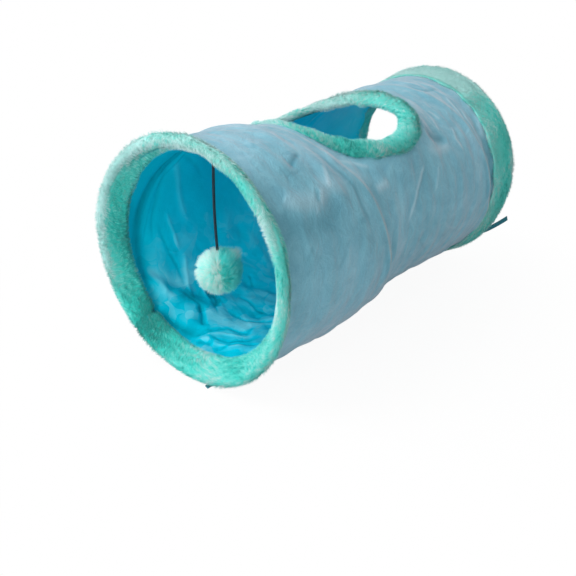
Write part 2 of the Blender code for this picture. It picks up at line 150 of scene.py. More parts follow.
# Radius of the hole's binding at its outer and inner edge, by the direction from the hole's centre
BIND_OUT = ring_table([
    (-168, 0.1158), (-150, 0.1142), (-120, 0.1178), (-100, 0.1212), (-90, 0.1234), (-75, 0.1242),
    (-60, 0.1238), (-45, 0.1226), (-32, 0.121), (-16, 0.1205), (0, 0.1218), (14, 0.122), (26, 0.1234),
    (43, 0.130), (58, 0.1315), (66, 0.1295), (89, 0.129), (102, 0.124), (115, 0.1194), (128, 0.1141),
    (140, 0.1164), (155, 0.1199), (170, 0.1205)])
BIND_IN = ring_table([
    (-165, 0.1096), (-150, 0.1094), (-120, 0.1134), (-90, 0.1174), (-60, 0.1162), (-45, 0.1130),
    (-21, 0.1092), (2, 0.1078), (24, 0.114), (40, 0.1208), (70, 0.1218), (90, 0.1205), (110, 0.1180),
    (130, 0.1140), (150, 0.1120), (165, 0.1118), (178, 0.1108)])


def hole_place(theta, y):
    """Distance and direction from the peep hole's centre, over the cloth."""
    u, t = WIRE_R * wrapped(theta), y - HOLE_Y
    return np.hypot(u, t), np.arctan2(u, t)


def wire_y(theta):
    """Where the wire lies along the tunnel, at an angle from the top."""
    return WIRE_START - HALF + PITCH * theta / TURN


def wire_passes(theta, y, half, power):
    """1 on the wire's two passes over an angle, 0 beside them."""
    turned = wrapped(theta)
    return sum(np.exp(-((y - wire_y(turned) - k * PITCH) / half) ** power) for k in (0, 1))


def draped(turned, y):
    """Radius of the cover: held out by the wire's passes, hollow behind them, slack below."""
    low = 0.5 + 0.5 * np.cos(turned - math.radians(145))
    r = np.full(np.broadcast(turned, y).shape, SKIN_R)
    for place, second in ((wire_y(turned), 0), (wire_y(turned) + PITCH, 1)):
        u = y - place
        v = np.clip(-u / 0.07, 0, None)
        bulge = (-0.0025 + 0.0085 * low) * (1 - second)
        r = r + bulge * v * np.exp(1 - v)
        ridge = 0.0016 + 0.0018 * low * (1 - 0.6 * second)
        r = r + ridge * hump(u, np.where(u < 0, 0.011, 0.0055))
        v = np.clip(u / 0.055, 0, None)
        if second:
            span = np.clip(0.216 - place, 0.02, None)
            r = r - 0.0028 * np.sin(math.pi * np.clip(u / span, 0, 1)) * smooth(1.6 * low - 0.1)
        else:
            r = r - 0.0058 * v * np.exp(1 - v)
    return r


def skin(theta, y, near=0.150):
    """Radius of the cover, the same from both sides underneath, and drawn to the hole on top."""
    turned = wrapped(theta)
    across = 0.5 * smooth((np.abs(turned) - math.pi + 0.7) / 0.7)
    r = draped(turned, y) * (1 - across) + draped(turned - TURN * np.sign(turned), y) * across
    rho, phi = hole_place(turned, y)
    edge = BIND_IN(phi) + (BIND_OUT(phi) - 0.0028 - BIND_IN(phi)) * np.clip((rho - 0.083) / 0.018, 0, 1)
    pull = smooth((near - rho) / (near - 0.098))
    r = r * (1 - pull) + edge * pull
    calm = smooth((np.abs(y) - 0.19) / 0.035)
    return r * (1 - calm) + (SKIN_R + 0.0004) * calm


# Mesh helpers
def put(name, points, faces, **numbers):
    """A smooth mesh piece, with numbers for each of its points."""
    mesh = bpy.data.meshes.new(name)
    points, faces = np.asarray(points, np.float32), np.asarray(faces, np.int32)
    mesh.vertices.add(len(points))
    mesh.vertices.foreach_set("co", points.ravel())
    mesh.loops.add(faces.size)
    mesh.loops.foreach_set("vertex_index", faces.ravel())
    mesh.polygons.add(len(faces))
    mesh.polygons.foreach_set("loop_start", np.arange(0, faces.size, faces.shape[1], dtype=np.int32))
    mesh.polygons.foreach_set("loop_total", np.full(len(faces), faces.shape[1], np.int32))
    mesh.polygons.foreach_set("use_smooth", np.ones(len(faces), bool))
    mesh.update(calc_edges=True)
    mesh.validate()
    made = bpy.data.objects.new(name, mesh)
    scene.collection.objects.link(made)
    for key, values in numbers.items():
        note(made, key, values)
    return made


def note(piece, name, values):
    """A number for each point of a piece, for its material."""
    layer = piece.data.attributes.new(name, "FLOAT", "POINT")
    layer.data.foreach_set("value", np.asarray(values, np.float32).ravel())


def grid_faces(rows, columns, wrap_rows=False, wrap_columns=False):
    """Four-sided faces of a grid of points, closed on itself where it wraps."""
    i = np.arange(rows if wrap_rows else rows - 1)[:, None]
    j = np.arange(columns if wrap_columns else columns - 1)[None, :]
    ii, jj = (i + 1) % rows, (j + 1) % columns
    quads = [i * columns + j, i * columns + jj, ii * columns + jj, ii * columns + j]
    return np.stack(np.broadcast_arrays(*quads), -1).reshape(-1, 4)


def tube(name, path, radius, sides, closed=False, caps=True):
    """A round tube along a path."""
    ways = unit(np.roll(path, -1, 0) - np.roll(path, 1, 0) if closed else np.gradient(path, axis=0))
    side = np.cross(ways[0], (0.31, 0.87, 0.39))
    rings = []
    turn = np.linspace(0, TURN, sides, endpoint=False)[:, None]
    for point, way in zip(path, ways):
        side = unit(side - way * (side @ way))
        rings.append(point + radius * (np.cos(turn) * side + np.sin(turn) * np.cross(way, side)))
    points = np.concatenate(rings)
    faces = grid_faces(len(path), sides, wrap_rows=closed, wrap_columns=True)
    capped = caps and not closed
    if capped:
        points = np.concatenate([points, path[[0, -1]]])
        first, last = np.full(sides, len(points) - 2), np.full(sides, len(points) - 1)
        k, n = np.arange(sides), (len(path) - 1) * sides
        low = np.stack([first, (k + 1) % sides, k], 1)
        high = np.stack([last, n + k, n + (k + 1) % sides], 1)
        faces = np.concatenate([faces[:, [0, 1, 2]], faces[:, [0, 2, 3]], low, high])
    length = lengths(path)
    around, along = np.tile(np.arange(sides) / sides, len(path)), np.repeat(length, sides)
    if capped:
        around, along = np.append(around, (0, 0)), np.append(along, (0, length[-1]))
    return put(name, points, faces, around=around, along=along)


# Materials
class Nodes:
    """Short ways to make and link a material's nodes."""

    def __init__(self, name):
        self.material = bpy.data.materials.new(name)
        self.material.use_nodes = True
        self.tree = self.material.node_tree
        self.shader = self.tree.nodes["Principled BSDF"]
        self.out = self.tree.nodes["Material Output"]

    def put(self, kind, **inputs):
        node = self.tree.nodes.new(kind)
        for key, value in inputs.items():
            if hasattr(node, key):
                setattr(node, key, value)
            else:
                self.join(node.inputs[key.replace("_", " ")], value)
        return node

    def join(self, socket, value):
        """Links what another node makes, or sets a plain value."""
        if isinstance(value, bpy.types.NodeSocket):
            self.tree.links.new(value, socket)
        elif socket.type == "RGBA" and len(value) == 3:
            socket.default_value = (*value, 1)
        else:
            socket.default_value = value

    def place(self, scale=(1, 1, 1), turn=(0, 0, 0)):
        """The piece's own coordinates, scaled and turned."""
        where = self.put("ShaderNodeTexCoord").outputs["Object"]
        return self.put("ShaderNodeMapping", Scale=scale, Rotation=turn, Vector=where).outputs["Vector"]

    def noise(self, scale, detail=2.0, rough=0.5, where=None, distortion=0.0):
        where = self.place() if where is None else where
        node = self.put("ShaderNodeTexNoise", Scale=scale, Detail=detail, Roughness=rough, Vector=where,
                        Distortion=distortion)
        return node.outputs["Fac"]

    def value(self, name):
        return self.put("ShaderNodeAttribute", attribute_name=name).outputs["Fac"]

    def ramp(self, fac, *stops, smoothly=False):
        node = self.put("ShaderNodeValToRGB")
        if smoothly:
            node.color_ramp.interpolation = "EASE"
        marks = node.color_ramp.elements
        while len(marks) < len(stops):
            marks.new(0.5)
        for mark, (position, colour) in zip(marks, stops):
            mark.position = position
            if not hasattr(colour, "__len__"):
                colour = (colour, colour, colour)
            mark.color = (*colour, 1)
        self.join(node.inputs["Fac"], fac)
        return node.outputs["Color"]

    def math(self, kind, *values):
        node = self.put("ShaderNodeMath", operation=kind)
        for socket, value in zip(node.inputs, values):
            self.join(socket, value)
        return node.outputs[0]

    def mix(self, fac, one, two, kind="MIX"):
        node = self.put("ShaderNodeMix", data_type="RGBA", blend_type=kind)
        for socket, value in ((0, fac), (6, one), (7, two)):
            self.join(node.inputs[socket], value)
        return node.outputs[2]

    def soften(self, colour, amount, fac, dark, light, low=0.3, high=0.7):
        """Darkens and lightens a colour by a pattern."""
        return self.mix(amount, colour, self.ramp(fac, (low, dark), (high, light)), "SOFT_LIGHT")

    def tint(self, colour, fac, start, most, other, end=1.0):
        """Mixes in another colour, from none where the pattern is at start to most at its end."""
        return self.mix(self.ramp(fac, (start, 0.0), (end, most)), colour, other)

    def bump(self, height, strength, distance, before=None):
        node = self.put("ShaderNodeBump", Strength=strength, Distance=distance, Height=height)
        if before is not None:
            self.join(node.inputs["Normal"], before)
        return node.outputs["Normal"]

    def finish(self, colour=None, roughness=0.6, normal=None, **direct):
        for key, value in (("Base Color", colour), ("Roughness", roughness), ("Normal", normal)):
            if value is not None:
                self.join(self.shader.inputs[key], value)
        for key, value in direct.items():
            self.shader.inputs[key.replace("_", " ")].default_value = value
        return self.material


def attach(piece, material, body, node=None, flattens=False):
    """Gives a piece its material and slot, the body that it rides, and the node that it replaces."""
    piece.data.materials.clear()
    piece.data.materials.append(material)
    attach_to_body(piece, body)
    if node:
        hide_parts(node)
    if flattens:
        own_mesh(piece)
    return piece


def suede():
    n = Nodes("dusty_blue_suede")
    cloud = n.noise(9, 5, 0.6, distortion=0.6)
    colour = n.ramp(cloud, (0.3, (0.166, 0.435, 0.535)), (0.52, (0.224, 0.508, 0.620)),
                    (0.72, (0.330, 0.595, 0.715)))
    patchy = n.noise(46, 5, 0.66, distortion=0.9)
    brushed = n.noise(1.0, 5, 0.62, n.place((14, 190, 14)))
    nap, lint = n.noise(620, 3, 0.65), n.noise(210, 4, 0.7)
    colour = n.soften(colour, 0.80, patchy, 0.36, 0.65)
    colour = n.soften(colour, 0.24, brushed, 0.36, 0.66)
    colour = n.soften(colour, 0.40, nap, 0.34, 0.68, 0.25, 0.75)
    colour = n.tint(colour, lint, 0.60, 0.35, (0.46, 0.67, 0.75), 0.78)
    # Painted highlight on raised folds; painted shade in hollow folds and just in front of the crest over the
    # wire
    crease_light_and_shade = n.value("crease_light_and_shade")
    colour = n.tint(colour, crease_light_and_shade, 0.05, 0.80, (0.58, 0.76, 0.84))
    colour = n.tint(colour, n.math("MULTIPLY", crease_light_and_shade, -1.0), 0.05, 0.80, (0.05, 0.25, 0.34))
    # Painted highlight along the crest of the cloth over the wire
    colour = n.tint(colour, n.value("ridge_highlight"), 0.1, 0.85, (0.50, 0.52, 0.50))
    normal = n.bump(patchy, 0.60, 0.0030)
    normal = n.bump(n.noise(24, 5, 0.62, n.place((1, 1.8, 1))), 0.55, 0.004, normal)
    normal = n.bump(nap, 0.5, 0.0006, normal)
    normal = n.bump(brushed, 0.10, 0.0012, normal)
    return n.finish(colour, n.ramp(nap, (0.3, 0.82), (0.7, 0.98)), normal, Sheen_Weight=0.64,
                    Sheen_Roughness=0.34, Sheen_Tint=(1.0, 0.84, 0.88, 1), Specular_IOR_Level=0.3)


def satin():
    n = Nodes("cyan_satin")
    colour = n.ramp(n.noise(11, 4, 0.55), (0.3, (0.000, 0.57, 0.74)), (0.7, (0.002, 0.67, 0.86)))
    weave = n.noise(1.0, 2, 0.5, n.place((700, 700, 260)))
    colour = n.soften(colour, 0.25, weave, 0.40, 0.60)
    # Painted light and shade of crumpled planes of two sizes, each a little paler or deeper than the next
    wander = n.put("ShaderNodeTexNoise", Scale=16.0, Detail=2.0, Vector=n.place()).outputs["Color"]
    bent = n.put("ShaderNodeMixRGB", blend_type="LINEAR_LIGHT", Fac=0.045, Color2=wander,
                 Color1=n.place((1, 0.62, 1), (0, 0, 0.4))).outputs[0]
    large, small = (n.put("ShaderNodeTexVoronoi", Scale=scale, Vector=bent) for scale in (34.0, 78.0))
    both = n.math("MULTIPLY_ADD", small.outputs["Color"], 0.6, large.outputs["Color"])
    plane_shade = n.math("MULTIPLY_ADD", both, 0.85, -0.64)
    crease_light_and_shade = n.math("MULTIPLY_ADD", plane_shade, n.value("facets"), n.value("crease_light_and_shade"))
    # Painted highlight where the fold and plane tint is above 0, painted shade where it is below
    colour = n.tint(colour, crease_light_and_shade, 0.05, 0.72, (0.30, 0.82, 0.92))
    colour = n.tint(colour, n.math("MULTIPLY", crease_light_and_shade, -1.0), 0.05, 0.75, (0.0, 0.27, 0.35))
    normal = n.bump(n.noise(38, 5, 0.58, n.place((1, 0.6, 1)), 0.8), 0.40, 0.003)
    normal = n.bump(weave, 0.25, 0.0003, normal)
    return n.finish(colour, n.ramp(n.noise(60, 4, 0.6), (0.3, 0.36), (0.7, 0.54)), normal,
                    Specular_IOR_Level=0.05, Specular_Tint=(0.35, 0.88, 1.0, 1))


def plush(name, deep, rich, middle, greyed_shade, pale, root_shade=0.25):
    """Fur coloured by two numbers: tone, deep to pale, the fur's random colour with painted light and shade,
    and fibre, its root to its tip.
    """
    n = Nodes(name)
    fibre, fine = n.value("fibre"), n.noise(330, 3, 0.6)
    mottle_and_shade = n.math("MULTIPLY_ADD", n.math("SUBTRACT", fine, 0.5), 0.5, n.value("tone"))
    # The fourth stop, greyer and darker, is painted shade for fur that gets less light
    colour = n.ramp(mottle_and_shade, (0.0, deep), (0.32, rich), (0.60, middle), (0.80, greyed_shade), (1.0, pale))
    # Painted shade on the roots, deep in the pile
    root = n.ramp(fibre, (0.0, root_shade), (0.55, 0.0))
    colour = n.mix(root, colour, (0.62, 0.86, 0.83), "MULTIPLY")
    # Paler tips, partly painted light that brightens the fringe
    colour = n.tint(colour, fibre, 0.55, 0.20, (0.86, 0.98, 0.96))
    normal = n.bump(n.noise(900, 2), 0.3, 0.0004)
    return n.finish(colour, n.ramp(fine, (0.3, 0.75), (0.7, 0.97)), normal, Sheen_Weight=0.35,
                    Sheen_Roughness=0.35, Sheen_Tint=(0.85, 1.0, 0.97, 1))


def film_material():
    n = Nodes("crinkle_film_grey")
    patch = n.noise(70, 5, 0.65, distortion=1.0)
    colour = n.ramp(patch, (0.3, (0.74, 0.78, 0.80)), (0.7, (0.90, 0.92, 0.94)))
    normal = n.bump(n.noise(120, 4, 0.7, distortion=1.5), 0.8, 0.002)
    return n.finish(colour, n.ramp(patch, (0.3, 0.18), (0.7, 0.42)), normal, Specular_IOR_Level=0.6)


def steel():
    n = Nodes("drawn_spring_steel")
    streak = n.noise(1, 3, 0.6, n.place((300, 1800, 300)))
    colour = n.ramp(streak, (0.3, (0.42, 0.42, 0.44)), (0.7, (0.66, 0.66, 0.68)))
    rough = n.ramp(streak, (0.3, 0.24), (0.7, 0.42))
    return n.finish(colour, rough, n.bump(streak, 0.3, 0.0002), Metallic=1.0)


def crossed(n, one, two):
    """A pattern of two crossing sets of ribs, 0 to 1."""
    both = n.math("MULTIPLY", n.math("SINE", one), n.math("SINE", two))
    return n.math("MULTIPLY_ADD", both, 0.5, 0.5)


def woven(name, dark, light):
    """Ribbon or tape, with a fine rib each way. Its across and along are in metres."""
    along_ribs, across_ribs, cycle = 900.0, 1500.0, 6.283
    n = Nodes(name)
    rib = crossed(n, n.math("MULTIPLY", n.value("along"), along_ribs * cycle),
                  n.math("MULTIPLY", n.value("across"), across_ribs * cycle))
    worn = n.noise(160, 4, 0.65)
    colour = n.mix(n.ramp(rib, (0.2, 0.0), (0.8, 1.0)), dark, light)
    colour = n.soften(colour, 0.5, worn, 0.35, 0.65)
    rough = n.ramp(worn, (0.3, 0.5), (0.7, 0.75))
    return n.finish(colour, rough, n.bump(rib, 0.5, 0.0002), Sheen_Weight=0.15)


def braid():
    n = Nodes("dark_braided_elastic")
    around = n.math("MULTIPLY", n.math("MULTIPLY", n.value("around"), 6.283), 4.0)
    along = n.math("MULTIPLY", n.value("along"), 1500.0)
    weave = crossed(n, n.math("ADD", around, along), n.math("SUBTRACT", around, along))
    worn = n.noise(400, 3, 0.6)
    colour = n.mix(n.ramp(weave, (0.2, 0.0), (0.9, 1.0)), (0.002, 0.010, 0.017), (0.008, 0.042, 0.062))
    colour = n.soften(colour, 0.4, worn, 0.35, 0.70)
    rough = n.ramp(worn, (0.3, 0.48), (0.7, 0.7))
    return n.finish(colour, rough, n.bump(weave, 0.7, 0.0003), Sheen_Weight=0.05, Specular_IOR_Level=0.3)


SUEDE, SATIN, FILM, STEEL = suede(), satin(), film_material(), steel()
MINTS = (0.005, 0.34, 0.30), (0.030, 0.63, 0.55), (0.17, 0.74, 0.67), (0.30, 0.64, 0.59), (0.56, 0.82, 0.80)
PALE_MINTS = ((0.01, 0.80, 0.74), (0.08, 0.88, 0.80), (0.36, 0.88, 0.82), (0.52, 0.86, 0.80),
              (0.76, 0.92, 0.88))
# The backing's roots are darkened more: painted shade under the pile
PLUSH, BACKING = plush("mint_plush", *MINTS), plush("plush_backing", *MINTS, root_shade=0.9)
BALL = plush("pale_mint_fur", *PALE_MINTS)
BRAID = braid()
RIBBON = woven("teal_ribbon", (0.003, 0.11, 0.15), (0.010, 0.24, 0.30))
TAPE = woven("casing_tape_white", (0.72, 0.72, 0.70), (0.90, 0.90, 0.88))

# Cords: the pompom's elastic and the ties
POMPOM_X, POMPOM_PLACE = 0.0022, 0.0505 - HALF
CORD_TOP, CORD_LOW, CORD_RADIUS = 0.22546, 0.1103, 0.00148
TIE_WIDTH, TIE_THICK, TIE_POINTS = 0.006, 0.0007, 28


def hanging_cord():
    """The pompom's elastic, slightly bowed."""
    share = np.linspace(0, 1, 40)
    bow = 0.0010 * np.sin(math.pi * share)
    height = CORD_TOP + (CORD_LOW - CORD_TOP) * share
    path = np.stack([POMPOM_X * share ** 2 - bow, POMPOM_PLACE - bow, height], 1)
    return tube("pompom_elastic", path, CORD_RADIUS, 14), path


def ribbon(name, centre, ways, wave=0.0):
    """A woven tie: a thin closed strip along a line, with a slight cup and a slanted cut end."""
    along = unit(np.gradient(centre, axis=0))
    up = unit(np.cross(along, ways))
    count, cells = len(centre), 10
    side = np.linspace(-1, 1, cells + 1)
    rings = []
    for k in range(count):
        cup = wave * (side ** 2 - 0.4) * math.sin(math.pi * k / (count - 1))
        slant = along[k] * (side[:, None] * 0.0010) * (k == count - 1)
        middle = centre[k] + ways[k] * side[:, None] * TIE_WIDTH / 2 + up[k] * cup[:, None] + slant
        edge = up[k] * (TIE_THICK / 2 * (1 - 0.45 * np.abs(side) ** 6)[:, None])
        rings.append(np.concatenate([middle + edge, (middle - edge)[::-1]]))
    sides = 2 * len(side)
    caps = []
    for base, flip in ((0, 1), ((count - 1) * sides, 0)):
        for k in range(cells):
            one = [base + k, base + k + 1, base + sides - 2 - k, base + sides - 1 - k]
            caps.append(one[::-1] if flip else one)
    faces = np.concatenate([grid_faces(count, sides, wrap_columns=True), np.array(caps)])
    across = np.tile(np.concatenate([side, side[::-1]]) * TIE_WIDTH / 2, count)
    return put(name, np.concatenate(rings), faces, across=across, along=np.repeat(lengths(centre), sides))


def front_tie(steps):
    """The front tie lies flat on the ground under the rim."""
    start, end = np.array((0.020, -0.1919, 0.00045)), np.array((0.020, -0.2447, 0.00045))
    line = start + (end - start) * steps[:, None]
    return ribbon("front_ribbon", line, np.tile((1.0, 0, 0), (TIE_POINTS, 1))), line


def rear_tie(steps):
    """The rear tie leaves the rim's seam and sticks out past it, a little sagged."""
    turn = math.radians(137)
    outward = np.array((math.sin(turn), 0, math.cos(turn)))
    run = np.array((0.022, 0.0455, 0.015))
    line = outward * 0.1239 + (0, 0.2506, 0.128) + steps[:, None] * run
    line[:, 2] -= 0.0015 * 4 * steps * (1 - steps)
    sewn, free = np.cross(outward, (0, 1, 0)), np.cross(run, (0.55, -0.75, 0.35))
    free = unit(free) * np.sign(sewn @ free)
    ways = unit(sewn + (free - sewn) * smooth(steps * 2.5)[:, None])
    return ribbon("rear_ribbon", line, ways, 0.0004), line


cord, cord_path = hanging_cord()
attach(cord, BRAID, "pompom_hang", "pompom_cord")
steps = np.linspace(0, 1, TIE_POINTS)
front_ribbon, front_line = front_tie(steps)
rear_ribbon, rear_line = rear_tie(steps)
attach(front_ribbon, RIBBON, "front_end", "front_tie")
attach(rear_ribbon, RIBBON, "rear_end", "rear_tie")


# Cover, lining and film
def spread(first, last, count, dense, weight):
    """Places from first to last, closer together by weight within the dense span."""
    fine, fade = np.linspace(first, last, 4001), 0.12
    starts, ends = ((x / fade / (last - first) + 0.5) for x in (fine - dense[0], dense[1] - fine))
    density = 1 + (weight - 1) * smooth(starts) * smooth(ends)
    total = np.concatenate([[0], np.cumsum((density[1:] + density[:-1]) / 2)])
    return np.interp(np.linspace(0, total[-1], count), total, fine)


def local(theta, place, r=SKIN_R):
    """The place along the tube before warp that ends up at a place along +Y."""
    y = np.full(np.shape(theta), float(place))
    for _ in range(5):
        y = y + place - warp(theta, y, r)[..., 1]
    return y


def layer(name, theta, y, radius, start=None, end=None):
    """A single cloth with the peep hole cut in it. radius gives its shape from angle and place.

    start and end hold its first and last rows to a plane across +Y.
    """
    rows, columns = len(y), len(theta)
    tt, yy = np.meshgrid(theta, y)
    reach = min(0.04, (y[-1] - y[0]) / 2)
    if start is not None:
        yy = yy + (local(tt, start) - y[0]) * (1 - smooth((y - y[0]) / reach))[:, None]
    if end is not None:
        yy = yy + (local(tt, end) - y[-1]) * smooth((y - y[-1] + reach) / reach)[:, None]
    row = np.repeat(np.arange(rows), columns)
    rho, phi = hole_place(tt, yy)
    # Grid points near the cut move onto it, and those inside it go
    step = 0.62 * np.maximum(np.gradient(theta)[None, :] * WIRE_R, np.gradient(y)[:, None])
    snap = np.abs(rho - HOLE_CUT) < step
    tt = np.where(snap, HOLE_CUT * np.sin(phi) / WIRE_R, tt)
    yy = np.where(snap, HOLE_Y + HOLE_CUT * np.cos(phi), yy)
    inside = (rho < HOLE_CUT) & ~snap
    faces = grid_faces(rows, columns, wrap_columns=True)
    faces = faces[~inside.ravel()[faces].any(1)]
    used = np.unique(faces)
    index = np.full(rows * columns, -1)
    index[used] = np.arange(len(used))
    tt, yy = tt.ravel()[used], yy.ravel()[used]
    r, numbers = radius(tt, yy)
    points = warp(tt, yy, r)
    row = row[used]
    for k, place in ((0, start), (rows - 1, end)):
        if place is not None:
            points[row == k, 1] = place
    return put(name, points, index[faces], **numbers)


def beside(uu, yy, line):
    """Distance to a line of points, its side (1 on the left, -1 on the right), and a fade at its ends."""
    spans = np.linalg.norm(np.diff(line, axis=0), axis=1)
    far, side, ends = np.full(uu.shape, 9.0), np.zeros(uu.shape), np.zeros(uu.shape)
    done, total = 0.0, spans.sum()
    for (a, b), (c, d), span in zip(line, line[1:], spans):
        t = np.clip(((uu - a) * (c - a) + (yy - b) * (d - b)) / span ** 2, 0, 1)
        now = np.hypot(uu - a - t * (c - a), yy - b - t * (d - b))
        place = (done + t * span) / total
        nearer = now < far
        far = np.where(nearer, now, far)
        side = np.where(nearer, np.sign((c - a) * (yy - b) - (d - b) * (uu - a)), side)
        ends = np.where(nearer, smooth(place / 0.25) * smooth((1 - place) / 0.25), ends)
        done += span
    return far, side, ends


def folds(theta, y, table):
    """Sums of folds: how far they move the cloth out, and their tint of painted light and shade, a painted
    highlight above 0 and painted shade below.

    A fold is its half width and height in mm, its tint, and the points of its line, in degrees from the top
    and mm along the tunnel. A ridge rises at its line. A step is high on the line's left, low on its right.
    """
    u = (theta % TURN) * SKIN_R
    out, tint = np.zeros(u.shape), np.zeros(u.shape)
    for kind, rows in table.items():
        for width, height, shade, *line in rows:
            width = width / 1000
            line = np.array([(math.radians(a % 360) * SKIN_R, b / 1000) for a, b in line])
            low, high = line.min(0) - 3.5 * width, line.max(0) + 3.5 * width
            near = (u > low[0]) & (u < high[0]) & (y > low[1]) & (y < high[1])
            far, side, ends = beside(u[near], y[near], line)
            v = far / width
            if kind == "ridges":
                rise, pale = np.exp(-v ** 1.5) * ends, hump(v, 1) * ends
            else:
                rise = pale = v * np.exp(0.5 - 0.5 * v ** 2) * side * ends
            out[near] += height / 1000 * rise
            tint[near] += shade * pale
    return out, np.clip(tint, -1, 1)


# The tint of these folds is painted light and shade: painted highlight on raised folds, painted shade in
# hollows and under the hole's binding, painted light above the bulge's edge and painted shade below it
COVER_FOLDS = {
    "ridges": [
        (3.0, -1.2, -0.9, (33, -151), (36, -166), (40, -180)),
        (2.4, -0.5, -0.4, (15, -176), (26, -198)),
        (2.2, 0.6, 0.6, (42, -136), (48, -143), (54, -149)),
        (2.0, -0.6, -0.5, (51, -164), (58, -174)),
        (2.0, 0.5, 0.3, (52, -158), (59, -170)),
        (2.0, 0.5, 0.35, (58, -174), (64, -183), (70, -190)),
        (3.4, -0.9, -0.6, (32, -130), (42, -122), (49, -116.5), (58, -110), (67, -110), (80, -103)),
        (3.0, 0.5, 0.4, (40, -107), (46, -80), (52, -59)),
        (5.5, 1.0, 0.55, (63, -74), (62, -58), (61, -42)),
        (2.3, 0.8, 0.65, (58, 36), (64, 19.8), (71, 6), (81, -9.4), (90, -21.3)),
        (2.6, -0.5, -0.3, (56, 43), (64, 27), (71, 13), (81, -2)),
        (2.0, 0.5, 0.4, (62, 58.5), (71, 49.6), (78, 41)),
        (2.6, -0.5, -0.35, (90, -165), (81, -145.2)),
        (2.6, -0.5, -0.35, (79, -208.7), (73, -196.3)),
        (3.5, 0.0, -0.45, (47, 34), (52, 10), (51, -15.2), (44, -50)),
        (2.0, 0.8, 0.7, (24, 168), (32, 165), (40, 164), (50, 158)),
        (2.0, 0.9, 0.75, (36, 177), (45, 171), (57, 174.5), (62, 178)),
        (2.0, 0.7, 0.6, (30, 205), (41, 195)),
        (2.0, 0.8, 0.75, (46, 123), (54, 118), (63, 125.4)),
        (2.0, 0.7, 0.6, (31, 104), (36, 109), (41, 112)),
        (2.0, 0.7, 0.6, (35, 99), (41, 95), (48, 93)),
        (6.0, -2.2, -0.75, (44, 52), (46, 60), (49, 72.4), (51, 89.5), (51, 101)),
        (6.5, 1.6, 0.55, (53, 38), (54, 52), (57, 64), (56, 90), (54, 105)),
        (7.0, 1.0, 0.35, (16, 98), (23, 92.2), (36, 82)),
        (3.0, -1.0, -0.5, (7, 131.5), (17, 145), (19, 178.6)),
        (4.0, -0.7, -0.4, (68, 169), (80, 176), (102, 186)),
        (6.0, 0.8, 0.45, (70, 206), (88, 208), (106, 206)),
        (3.0, -1.1, -0.7, (30, 214), (38, 210), (46, 208)),
        (6.0, 1.3, 0.45, (44, 203), (52, 197), (62, 190)),
        (2.4, 0.5, 0.3, (96, 60), (104, 85), (110, 120)),
        (2.6, -0.5, -0.3, (98, 5), (108, 30), (116, 50)),
        (3.0, 0.8, 0.4, (-30, -140), (-48, -115), (-72, -120)),
        (2.4, -0.8, -0.5, (-28, -150), (-44, -160), (-60, -185)),
        (2.2, 0.8, 0.5, (-56, 40), (-68, 10), (-84, -20)),
        (5.0, -1.8, -0.5, (-44, 50), (-50, 75), (-50, 105)),
        (2.0, 0.8, 0.5, (-30, 170), (-46, 162), (-60, 172)),
        (2.0, 0.7, 0.5, (-80, 90), (-95, 120), (-104, 160)),
    ],
    "steps": [
        (10.0, 2.0, 0.42, (48, -226), (55, -220.8), (60, -197.2), (62, -168.5), (57, -147.6), (64, -118.7)),
        (9.0, 1.6, -0.3, (-50, -205), (-62, -150), (-58, -110), (-66, -70)),
    ],
}

